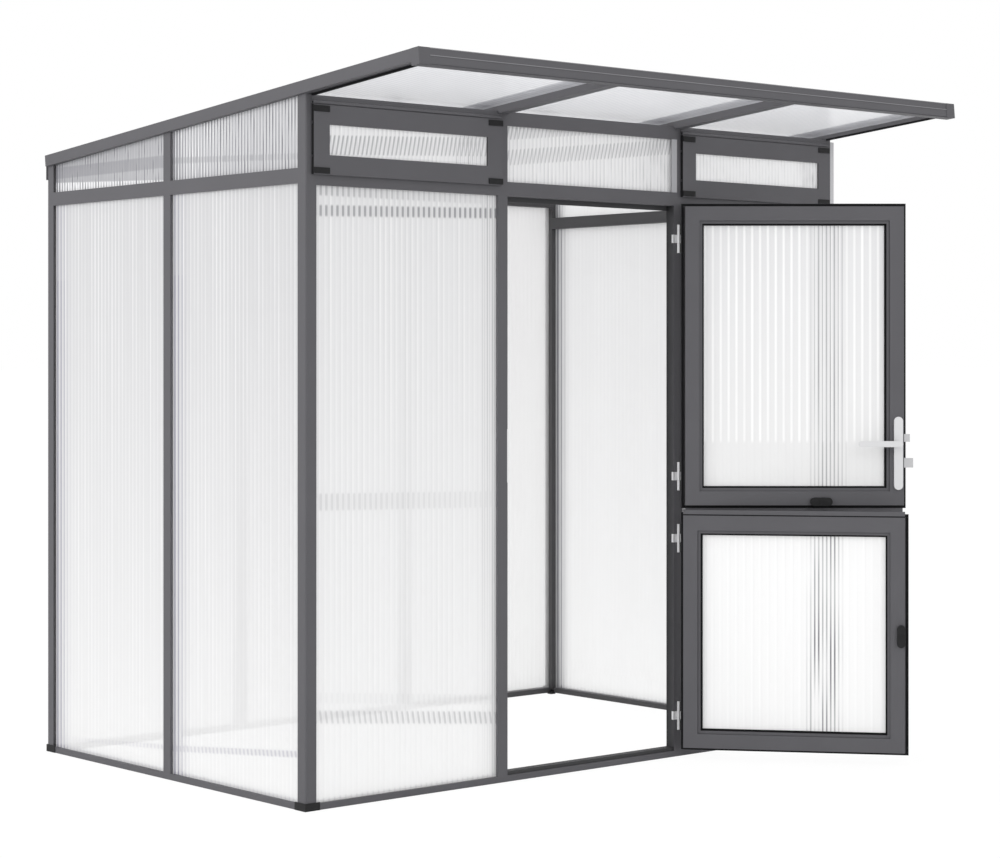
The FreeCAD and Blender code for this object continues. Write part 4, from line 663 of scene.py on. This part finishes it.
# The wide dark band near the top of the rear gable is partly painted shade of the roof and partly the rails seen
# through the sheet.
gable_rear_finish = sheet_material(
    "ribbed rear gable sheet", top=(0.66, 0.66, 0.68), bottom=(0.82, 0.82, 0.83),
    alpha=0.94, roughness=0.3, pattern={**GABLE_PATTERN, "Dark lines": 0.7},
    rows=[row(2.07, 0.125, 0.68, far_depth=0.55, rise=-0.028, width=4.0, edge=0.006),
          row(1.98, 0.036, 0.82, far_depth=0.72, width=4.0, edge=0.02)],
    dark=INK, fall=0.3)
gable_front_finish = sheet_material(
    "ribbed front gable sheet", top=(0.5, 0.5, 0.52), bottom=(0.44, 0.44, 0.46),
    alpha=0.92, roughness=0.3,
    pattern={**GABLE_PATTERN, "Zone middle": 1.0, "Zone half": 0.9, "Zone lines": 0.3},
    rows=[row(1.98, 0.014, 0.4, far_depth=0.3, rise=-0.03, width=4.0, edge=0.008)],
    dark=INK)
print("made", gable_rear_finish.name, "and", gable_front_finish.name)

# %% Finishes of the leaves and the roof
ROOF_SHINE = 0.06
upper_leaf_finish = sheet_material(
    "ribbed upper leaf sheet", top=(0.8, 0.8, 0.81), bottom=(0.86, 0.86, 0.86),
    alpha=0.9, roughness=0.35,
    pattern={"Line width": 0.24, "Dark lines": 0.02, "Light lines": 0.8, "Light from": 0.17,
             "Edge lines": 0.0, "Zone middle": 0.32, "Zone half": 0.12, "Zone lines": 0.5,
             "Unevenness": 0.4})
lower_leaf_finish = sheet_material(
    "ribbed lower leaf sheet", top=(0.95, 0.95, 0.95), bottom=(0.95, 0.95, 0.95),
    alpha=0.9, roughness=0.35,
    pattern={"Line width": 0.12, "Dark lines": 0.03, "Light lines": 0.5, "Edge lines": 0.0,
             "Zone middle": 0.34, "Zone half": 0.12, "Zone lines": 0.6})
roof_finish = sheet_material(
    "ribbed roof sheet", top=(0.93, 0.94, 0.99), bottom=(0.93, 0.94, 0.99),
    alpha=0.42, roughness=0.12,
    pattern={"Line width": 0.2, "Dark lines": 0.02, "Light lines": 0.03, "Edge lines": 0.0})
roof_surface = roof_finish.node_tree.nodes["Principled BSDF"]
roof_surface.inputs["Specular IOR Level"].default_value = ROOF_SHINE
print("made", upper_leaf_finish.name + ",", lower_leaf_finish.name, "and", roof_finish.name)

# %% [markdown]
# ## A ribbed sheet in Geometry Nodes
#
# A sheet is one shape ruled by a few numbers: width, two heights (the roof slopes, so some
# tops are slanted), thickness and rib pitch.  We start from a box with four columns per
# cell, stretch it, and let the skins sink a little between the ribs.  Geometry Nodes fits
# here because each of the greenhouse's sheets is the same recipe with other numbers.

# %% Open the sheet tree
HOLLOW = 0.0004
SHEET_INPUTS = [("Width", 0.6), ("Left height", 1.8), ("Right height", 1.8), ("Thickness", 0.01),
                ("Rib pitch", 0.021), ("Hollow", HOLLOW)]
sheet_tree = bpy.data.node_groups.new("ribbed sheet", "GeometryNodeTree")
sheet_sockets = sheet_tree.interface
for label, value in SHEET_INPUTS:
    socket = sheet_sockets.new_socket(label, in_out="INPUT", socket_type="NodeSocketFloat")
    socket.default_value = value
sheet_sockets.new_socket("Sheet material", in_out="INPUT", socket_type="NodeSocketMaterial")
sheet_sockets.new_socket("Geometry", in_out="OUTPUT", socket_type="NodeSocketGeometry")
source = add(sheet_tree, "NodeGroupInput").outputs
print("sheet sizes that can be set:", len(SHEET_INPUTS))


def sheet_math(operation, *values):
    return math_node(sheet_tree, operation, *values)


def sheet_point(x, y, z):
    return add(sheet_tree, "ShaderNodeCombineXYZ", {0: x, 1: y, 2: z}).outputs[0]


# %% Cut a box into columns
COLUMNS_PER_CELL = 4
cells = sheet_math("ROUND", sheet_math("DIVIDE", source["Width"], source["Rib pitch"]))
cells = sheet_math("MAXIMUM", cells, 1.0)
columns = sheet_math("MULTIPLY_ADD", cells, float(COLUMNS_PER_CELL), 1.0)
slab = add(sheet_tree, "GeometryNodeMeshCube",
           {"Size": (1, 1, 1), "Vertices X": columns, "Vertices Y": 2, "Vertices Z": 2})
box_place = add(sheet_tree, "GeometryNodeInputPosition").outputs[0]
box_x, box_y, box_z = split_xyz(sheet_tree, box_place)
share = sheet_math("ADD", box_x, 0.5)
rise = sheet_math("ADD", box_y, 0.5)
side = sheet_math("SIGN", box_z)
print("columns per cell:", COLUMNS_PER_CELL)

# %% Stretch the box to a sheet
rib_count = sheet_math("MULTIPLY", share, cells)
turn = sheet_math("MULTIPLY", rib_count, 2 * math.pi)
dip = sheet_math("SUBTRACT", 1.0, sheet_math("COSINE", turn))
sink = sheet_math("MULTIPLY", dip, sheet_math("MULTIPLY", source["Hollow"], 0.5))
half_thick = sheet_math("SUBTRACT", sheet_math("MULTIPLY", source["Thickness"], 0.5), sink)
wide = sheet_math("MULTIPLY", share, source["Width"])
lean = sheet_math("SUBTRACT", source["Right height"], source["Left height"])
full_height = sheet_math("MULTIPLY_ADD", share, lean, source["Left height"])
tall = sheet_math("MULTIPLY", rise, full_height)
spot = sheet_point(wide, tall, sheet_math("MULTIPLY", side, half_thick))
kept = add(sheet_tree, "GeometryNodeStoreNamedAttribute",
           {"Geometry": slab.outputs["Mesh"], "Name": "pane",
            "Value": sheet_point(rib_count, share, rise)},
           data_type="FLOAT_VECTOR", domain="POINT")
shaped = add(sheet_tree, "GeometryNodeSetPosition", {"Geometry": kept.outputs[0], "Position": spot})
real = add(sheet_tree, "GeometryNodeRealizeInstances", {0: shaped.outputs[0]})
painted = add(sheet_tree, "GeometryNodeSetMaterial",
              {"Geometry": real.outputs[0], "Material": source["Sheet material"]})
add(sheet_tree, "NodeGroupOutput", {"Geometry": painted.outputs[0]})
print("sheet tree has", len(sheet_tree.nodes), "nodes")


# %% Run a tree and keep its mesh
def run_tree(tree, values):
    """Evaluates a Geometry Nodes tree with named inputs and returns a plain mesh."""
    carrier = bpy.data.objects.new("carrier", bpy.data.meshes.new("carrier"))
    bpy.context.scene.collection.objects.link(carrier)
    modifier = carrier.modifiers.new("tree", "NODES")
    modifier.node_group = tree
    inputs = [item for item in tree.interface.items_tree if item.in_out == "INPUT"]
    sockets = {item.name: item.identifier for item in inputs}
    for label, value in values.items():
        modifier[sockets[label]] = value
    bpy.context.view_layer.update()
    result = carrier.evaluated_get(bpy.context.evaluated_depsgraph_get())
    mesh = bpy.data.meshes.new_from_object(result)
    carrier.modifiers.remove(modifier)
    bpy.data.objects.remove(carrier)
    return mesh


# %% [markdown]
# ## Measuring the solid sheets
#
# The new sheets must sit exactly where the solid ones do.  A solid's mesh is loose
# triangles, so we weld a copy, split it into islands and measure each in its own plane:
# ribs run one way, the sheet's width the other, and its thickness is what is left.

# %% Find the islands of a node
WELD = 1e-5


def welded(node):
    """A working copy of a node's mesh whose triangles share their corners."""
    shell = bmesh.new()
    shell.from_mesh(nodes[node].data)
    bmesh.ops.remove_doubles(shell, verts=shell.verts, dist=WELD)
    return shell


def islands(node):
    """The vertex places of each separate solid of a node, in the same order on every run."""
    shell = welded(node)
    reached = set()
    found = []
    for start in shell.verts:
        if start in reached:
            continue
        reached.add(start)
        front = [start]
        group = []
        while front:
            vertex = front.pop()
            group.append(vertex.co.copy())
            for edge in vertex.link_edges:
                other = edge.other_vert(vertex)
                if other not in reached:
                    reached.add(other)
                    front.append(other)
        found.append(group)
    shell.free()
    return found


# %% Measure one sheet
NEAR_EDGE = 0.002


def measure(points, normal, run):
    """Width, heights, thickness and placement of a flat sheet from its points."""
    sideways = run.cross(normal)
    over = [point.dot(sideways) for point in points]
    along = [point.dot(run) for point in points]
    out = [point.dot(normal) for point in points]
    start, end, foot = min(over), max(over), min(along)
    left_top = max(a for a, o in zip(along, over) if o < start + NEAR_EDGE)
    right_top = max(a for a, o in zip(along, over) if o > end - NEAR_EDGE)
    placement = Matrix((sideways, run, normal)).transposed().to_4x4()
    placement.translation = sideways * start + run * foot + normal * (min(out) + max(out)) / 2
    return {"Width": end - start, "Left height": left_top - foot,
            "Right height": right_top - foot, "Thickness": max(out) - min(out)}, placement


# %% Replace a node's sheets
def ribbed(node, body, normal, run, pitch, finishes, choose=None, taller=0.0):
    """One ribbed sheet for each solid of a node; choose picks a finish by the sheet's corner."""
    whole = bmesh.new()
    for points in islands(node):
        sizes, placement = measure(points, normal, run)
        sizes["Left height"] += taller
        sizes["Right height"] += taller
        mesh = run_tree(sheet_tree, {**sizes, "Rib pitch": pitch, "Hollow": HOLLOW,
                                     "Sheet material": finishes[0]})
        mesh.transform(placement)
        chosen = choose(placement.translation) if choose else 0
        for face in mesh.polygons:
            face.material_index = chosen
        whole.from_mesh(mesh)
    mesh = bpy.data.meshes.new(node + "_ribbed")
    whole.to_mesh(mesh)
    whole.free()
    for finish in finishes:
        mesh.materials.append(finish)
    piece = bpy.data.objects.new(node + "_ribbed", mesh)
    bpy.context.scene.collection.objects.link(piece)
    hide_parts(node)
    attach(piece, body)
    print(node, len(mesh.polygons), "faces")


# %% Directions, pitches and bays
UP = Vector((0, 0, 1))
FRONT = Vector((0, -1, 0))
LEFT = Vector((-1, 0, 0))
ROOF_SLOPE = math.radians(4.96)
ROOF_NORMAL = Vector((0, math.sin(ROOF_SLOPE), math.cos(ROOF_SLOPE)))
ROOF_RUN = Vector((0, -math.cos(ROOF_SLOPE), math.sin(ROOF_SLOPE)))
WALL_PITCH = 0.021
LEAF_PITCH = 0.0266
TOP_PITCH = 0.0165
RAIL_LIFT = 0.0105
REAR_BAY_FROM = 0.1


def wall_bay(corner):
    """0 for the rear bay of the left wall, 1 for its front bay, 2 for the right wall."""
    if corner.x > 0:
        return 2
    return 0 if corner.y > REAR_BAY_FROM else 1


# %% Ribbed sheets of the walls and the roof
WALL_FINISHES = [left_rear_sheet, left_front_sheet, right_sheet]
GABLE_FINISHES = [gable_rear_finish, gable_front_finish, right_sheet]
ribbed("front_wall_sheets", "house", FRONT, UP, WALL_PITCH, [front_sheet])
ribbed("over_door_sheet", "house", FRONT, UP, TOP_PITCH, [over_door_finish])
ribbed("side_lower_sheets", "house", LEFT, UP, WALL_PITCH, WALL_FINISHES, wall_bay)
ribbed("side_upper_sheets", "house", LEFT, UP, TOP_PITCH, GABLE_FINISHES, wall_bay,
       taller=RAIL_LIFT)
ribbed("rear_wall_sheets", "house", FRONT, UP, WALL_PITCH, [rear_sheet])
ribbed("roof_sheets", "house", ROOF_NORMAL, ROOF_RUN, WALL_PITCH, [roof_finish])

# %% Ribbed sheets of the vents and the leaves
UPPER_OUT = leaf_normal(UPPER_TURN)
LOWER_OUT = leaf_normal(LOWER_TURN)
ribbed("left_vent_sheet", "left_vent", FRONT, UP, TOP_PITCH, [left_vent_finish])
ribbed("right_vent_sheet", "right_vent", FRONT, UP, TOP_PITCH, [right_vent_finish])
ribbed("upper_leaf_sheet", "upper_leaf", UPPER_OUT, UP, LEAF_PITCH, [upper_leaf_finish])
ribbed("lower_leaf_sheet", "lower_leaf", LOWER_OUT, UP, LEAF_PITCH, [lower_leaf_finish])

# %% [markdown]
# ## A slimmer roof edge
#
# The picture shows the side rails of the roof about a centimetre slimmer than the solids.
# We copy the solids' meshes and lift every point of the underside by that much; posts and
# bars that end under the rails grow to meet them.

# %% Where the rails' underside lies
UNDERSIDE = (0.036, 0.0487)
fascia_points = [vertex.co for vertex in nodes["roof_fascia"].data.vertices]
ROOF_TOP = max(point.dot(ROOF_NORMAL) for point in fascia_points)
ROOF_TIP = max(point.dot(ROOF_RUN) for point in fascia_points)
print("undersides lie", UNDERSIDE[0], "to", UNDERSIDE[1], "m below the roof's top")


# %% Lift the undersides
def lifted(node, finish):
    """A copy of a node whose points at the depth of the rails' underside lie higher."""
    shell = welded(node)
    moved = 0
    for vertex in shell.verts:
        depth = ROOF_TOP - vertex.co.dot(ROOF_NORMAL)
        if UNDERSIDE[0] < depth < UNDERSIDE[1]:
            vertex.co.z += RAIL_LIFT
            moved += 1
    for face in shell.faces:
        face.smooth = False
    mesh = bpy.data.meshes.new(node + "_lifted")
    shell.to_mesh(mesh)
    shell.free()
    stored_normals = mesh.attributes.get("custom_normal")
    if stored_normals:
        mesh.attributes.remove(stored_normals)
    mesh.materials.append(finish)
    piece = bpy.data.objects.new(node + "_lifted", mesh)
    bpy.context.scene.collection.objects.link(piece)
    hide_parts(node)
    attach(piece, "house")
    print(node, "points lifted:", moved)


lifted("side_roof_rails", powder_coat)
lifted("corner_posts", inner_coat)
lifted("wall_bars", inner_coat)

# %% [markdown]
# ## Thin trims
#
# Strips of a millimetre or two are not worth a solid of their own, but the picture shows
# them.  A bevelled profile along a curve would make them too; a box between two corners is
# quicker to place and to check, and one helper makes all of them.


# %% Make strips
def strips(name, body, finish, boxes, axes=None, replaced=None):
    """Boxes given by two opposite corners in the frame of axes, as one piece."""
    shape = bmesh.new()
    for low, high in boxes:
        made = bmesh.ops.create_cube(shape, size=1.0)["verts"]
        for vertex in made:
            vertex.co = Vector([a + (b - a) * (c + 0.5) for a, b, c in zip(low, high, vertex.co)])
    if axes:
        shape.transform(axes)
    mesh = bpy.data.meshes.new(name)
    shape.to_mesh(mesh)
    shape.free()
    mesh.materials.append(finish)
    piece = bpy.data.objects.new(name, mesh)
    bpy.context.scene.collection.objects.link(piece)
    if replaced:
        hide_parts(replaced)
    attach(piece, body)
    print(name, len(boxes), "strips")


# %% [markdown]
# ## Trims of the roof's edge
#
# The fascia is one extruded bar with raised beads, closed at its ends by plates, and seals
# run from it to the wall under the edge of the roof.  The beads could be cut into the
# solid, but as they only catch the light, thin boxes laid on its face are enough; their
# paler coat is a painted highlight.

# %% Measures of the roof's edge
# In the roof's frame X runs across, Y towards the back along the slope and Z out of it.
ROOF_AXES = Matrix((Vector((1, 0, 0)), -ROOF_RUN, ROOF_NORMAL)).transposed().to_4x4()
TIP = -ROOF_TIP
ROOF_EDGE = corners("side_roof_rails")[1][0]
RAIL_WIDTH = 0.04
FASCIA_THICK = 0.034
FASCIA_HEIGHT = 0.049
FASCIA_FOOT = ROOF_TOP - FASCIA_HEIGHT
BEAD_END = ROOF_EDGE - RAIL_WIDTH
print("roof edge at", ROOF_EDGE, "m, beads end at", round(BEAD_END, 4), "m")

# %% Beads and end plates of the fascia
BEAD = 0.0028
BEAD_PROUD = 0.0012
BEAD_BACK = TIP + 0.004
MIDDLE_BEAD = 0.0206
CAP = 0.0015
SIDES = (-1, 1)
bead_boxes = []
for drop in (0.0, MIDDLE_BEAD):
    bead_boxes.append(((-BEAD_END, TIP - BEAD_PROUD, ROOF_TOP - drop - BEAD),
                       (BEAD_END, BEAD_BACK, ROOF_TOP - drop)))
# The beads' paler coat is a painted highlight.
strips("fascia_beads", "house", painted_bead_highlight, bead_boxes, ROOF_AXES)
front_plates = [((side * BEAD_END, TIP - CAP, FASCIA_FOOT),
                 (side * (ROOF_EDGE + CAP), TIP, ROOF_TOP)) for side in SIDES]
side_plates = [((side * ROOF_EDGE, TIP, FASCIA_FOOT),
                (side * (ROOF_EDGE + CAP), TIP + FASCIA_THICK, ROOF_TOP)) for side in SIDES]
strips("fascia_end_plates", "house", powder_coat, front_plates + side_plates, ROOF_AXES)

# %% Seals under the roof's edge
SEAL_WIDTH = 0.01
SEAL_FOOT = ROOF_TOP - 0.0435
SEAL_DROP = 0.006
ROOF_AT_WALL = 2.1723
wall_along = -(Vector((0, FRONT_WALL, ROOF_AT_WALL)).dot(ROOF_RUN))
seal_boxes = [((side * BEAD_END, TIP + FASCIA_THICK, SEAL_FOOT),
               (side * (BEAD_END + SEAL_WIDTH), wall_along, SEAL_FOOT + SEAL_DROP)) for side in SIDES]
strips("roof_edge_seals", "house", rubber, seal_boxes, ROOF_AXES)

# %% [markdown]
# ## Trims of the front wall
#
# The front wall has a small angle over the door, a strip with a flange on its right edge, a
# stop for the leaves under the head rail, and hinge brackets with legs.  They are bent or
# extruded sheet, so boxes give their shape.  Most places are read from the solids.

# %% Trims of the front wall
THIN = 0.0015
ANGLE_SPAN = (DOORWAY_HALF - 0.0115, DOORWAY_HALF + 0.013)
STRIP_TOP = 2.125
FLANGE = 0.02
FLANGE_THICK = 0.002
STOP_SPAN = (-0.7105, -0.7065)
STOP_DROP = 0.016
HEAD_FOOT = corners("door_head_rail")[0][2]
HEAD_TOP = corners("door_head_rail")[1][2]
HEADER_FOOT = corners("front_header")[0][2]
strips("over_door_angle", "house", grey_trim,
       [((ANGLE_SPAN[0], FRONT_WALL - THIN, HEAD_TOP), (ANGLE_SPAN[1], FRONT_WALL, HEADER_FOOT))])
edge_low, edge_high = corners("wall_edge_strip")
flange_low = (edge_low[0], edge_low[1] - FLANGE_THICK, edge_low[2])
flange_high = (edge_low[0] + FLANGE, edge_low[1], STRIP_TOP)
strips("wall_edge_angle", "house", pale_trim,
       [(edge_low, (edge_high[0], edge_high[1], STRIP_TOP)), (flange_low, flange_high)],
       replaced="wall_edge_strip")
# The head stop's dark coat is painted shade.
strips("head_stop", "house", shade_painted_trim,
       [((-DOORWAY_HALF, STOP_SPAN[0], HEAD_FOOT - STOP_DROP), (DOORWAY_HALF, STOP_SPAN[1], HEAD_FOOT))])

# %% Legs of the hinges
# The leaf's seal closes on the jamb, so the front part of a leg is thin sheet.
LEG = 0.002
LEG_PROUD = 0.0002
LEG_DEPTH = 0.009
LEG_END = 0.3828
HINGE_HALF = 0.014
HINGE_LEVELS = (1.752, 0.949, 0.739, 0.139)
leg_boxes = []
for hinge in HINGE_LEVELS:
    corner = (DOORWAY_HALF - LEG, FRONT_WALL - LEG_PROUD, hinge - HINGE_HALF)
    leg_boxes.append((corner, (DOORWAY_HALF, FRONT_WALL + LEG_DEPTH, hinge + HINGE_HALF)))
    leg_boxes.append((corner, (LEG_END, FRONT_WALL, hinge + HINGE_HALF)))
strips("hinge_legs", "house", satin_aluminium, leg_boxes)

# %% [markdown]
# ## Trims between the leaves
#
# A sweep with a rubber seal hangs under the upper leaf, and a dark line runs along the
# upstand of the lower one.  Both turn with their leaf, so we measure them along the leaf,
# from its hinge, and lay them out in the room with a matrix.


# %% Axes of the leaves
def leaf_axes(outwards):
    """X runs from the hinge axis to the free edge, Y outwards and Z up."""
    axes = Matrix((outwards.cross(UP), outwards, UP)).transposed().to_4x4()
    axes.translation = (*HINGE_AXIS, 0)
    return axes


UPPER_AXES = leaf_axes(UPPER_OUT)
LOWER_AXES = leaf_axes(LOWER_OUT)
print("leaves turn about", UPPER_AXES.translation.xy)

# %% Trims between the leaves
INNER_FACE = -0.041
LEAF_SPAN = (0.0195, 0.7565)
SWEEP_MARGIN = 0.002
SWEEP_INSET = 0.016
SWEEP_THICK = 0.006
SWEEP_SPAN = (LEAF_SPAN[0] + SWEEP_MARGIN, LEAF_SPAN[1] - SWEEP_MARGIN)
SWEEP_FRONT = INNER_FACE + SWEEP_INSET
SWEEP_BACK = SWEEP_FRONT + SWEEP_THICK
SWEEP_LEVELS = (0.8235, 0.8425, 0.8524)
LINE_LEVELS = (0.819, 0.823)
LINE_PROUD = 0.0004
strips("upper_leaf_sweep", "upper_leaf", powder_coat,
       [((SWEEP_SPAN[0], SWEEP_FRONT, SWEEP_LEVELS[0]), (SWEEP_SPAN[1], SWEEP_BACK, SWEEP_LEVELS[1]))],
       UPPER_AXES)
strips("upper_leaf_sweep_seal", "upper_leaf", rubber,
       [((SWEEP_SPAN[0], SWEEP_FRONT, SWEEP_LEVELS[1]), (SWEEP_SPAN[1], SWEEP_BACK, SWEEP_LEVELS[2]))],
       UPPER_AXES)
strips("upstand_line", "lower_leaf", rubber,
       [((LEAF_SPAN[0], INNER_FACE - LINE_PROUD, LINE_LEVELS[0]),
         (LEAF_SPAN[1], INNER_FACE, LINE_LEVELS[1]))],
       LOWER_AXES)

# %% [markdown]
# ## Finishes for the solids
#
# Every other solid keeps its shape and takes the finish that its record names, or the
# darker one that was made for it.  Nodes that were replaced above aren't seen any more.

# %% Paint the solids
subparts = frame["record"]["subparts"]
for part in subparts:
    finish = OWN_FINISH.get(part["node"], FINISHES.get(part["material_slot"]))
    if finish is None:
        continue
    materials = nodes[part["node"]].data.materials
    materials.clear()
    materials.append(finish)
print("nodes looked at:", len(subparts))

# %% [markdown]
# ## Floor, world and lamps
#
# The photograph has a pure white ground.  The world shows white to the camera and lights
# the house evenly; a broad lamp makes the left faces a little lighter, and a weaker one
# lights the front.  The floor is mostly its own white, with a little real shading so a
# soft shadow stays.


# %% The world
def seen(tree):
    """1 for rays that end in the picture: straight from the camera, mirrored or bent."""
    rays = add(tree, "ShaderNodeLightPath").outputs
    bent = math_node(tree, "MAXIMUM", rays["Is Glossy Ray"], rays["Is Transmission Ray"])
    return math_node(tree, "MAXIMUM", rays["Is Camera Ray"], bent)


WORLD_LEVEL = 0.9
world = bpy.data.worlds.new("studio")
bpy.context.scene.world = world
world.use_nodes = True
sky = world.node_tree
background = sky.nodes["Background"].inputs
level_seen = add(sky, "ShaderNodeMapRange", {0: seen(sky), 3: WORLD_LEVEL, 4: 1.0}).outputs[0]
sky.links.new(level_seen, background["Strength"])
background["Color"].default_value = grey(1.0)
print("world level", WORLD_LEVEL)

# %% The floor
REACH = 300.0
MATT = 0.9
FLOOR_GREYS = (0.86, 0.9)
FLOOR_NOISE = 3.0
FLOOR_GLOW = 1.03
GLOW_SHARE = 0.9
floor_mesh = bpy.data.meshes.new("floor")
floor_corners = [(-REACH, -REACH, 0), (REACH, -REACH, 0), (REACH, REACH, 0), (-REACH, REACH, 0)]
floor_mesh.from_pydata(floor_corners, [], [(0, 1, 2, 3)])
floor = bpy.data.objects.new("floor", floor_mesh)
bpy.context.scene.collection.objects.link(floor)
floor_material = bpy.data.materials.new("white floor")
floor_material.use_nodes = True
floor_tree = floor_material.node_tree
floor_surface = floor_tree.nodes["Principled BSDF"]
floor_surface.inputs["Roughness"].default_value = MATT
noise = add(floor_tree, "ShaderNodeTexNoise", {"Scale": FLOOR_NOISE}).outputs[0]
floor_tone = add(floor_tree, "ShaderNodeMapRange",
                 {0: noise, 3: FLOOR_GREYS[0], 4: FLOOR_GREYS[1]}).outputs[0]
floor_tree.links.new(floor_tone, floor_surface.inputs["Base Color"])
glow = add(floor_tree, "ShaderNodeEmission", {"Strength": FLOOR_GLOW}).outputs[0]
own_white = math_node(floor_tree, "MULTIPLY", seen(floor_tree), GLOW_SHARE)
blend = add(floor_tree, "ShaderNodeMixShader",
            {0: own_white, 1: floor_surface.outputs[0], 2: glow}).outputs[0]
floor_tree.links.new(blend, floor_tree.nodes["Material Output"].inputs["Surface"])
floor_mesh.materials.append(floor_material)
print("floor reaches", REACH, "m")


# %% The lamps
def broad_lamp(name, place, watts):
    """A square lamp that shines at the middle of the house and isn't seen itself."""
    data = bpy.data.lights.new(name, "AREA")
    data.shape = "SQUARE"
    data.size = LAMP_SIZE
    data.energy = watts
    lamp = bpy.data.objects.new(name, data)
    lamp.location = place
    aim = HOUSE_MIDDLE - Vector(place)
    lamp.rotation_euler = aim.to_track_quat("-Z", "Y").to_euler()
    lamp.visible_camera = False
    bpy.context.scene.collection.objects.link(lamp)


LAMP_SIZE = 5.0
HOUSE_MIDDLE = Vector((0.0, 0.0, 1.0))
broad_lamp("left lamp", (-9.0, 1.0, 4.0), watts=260)
broad_lamp("front lamp", (-1.0, -9.0, 5.0), watts=100)
print("lamps set")
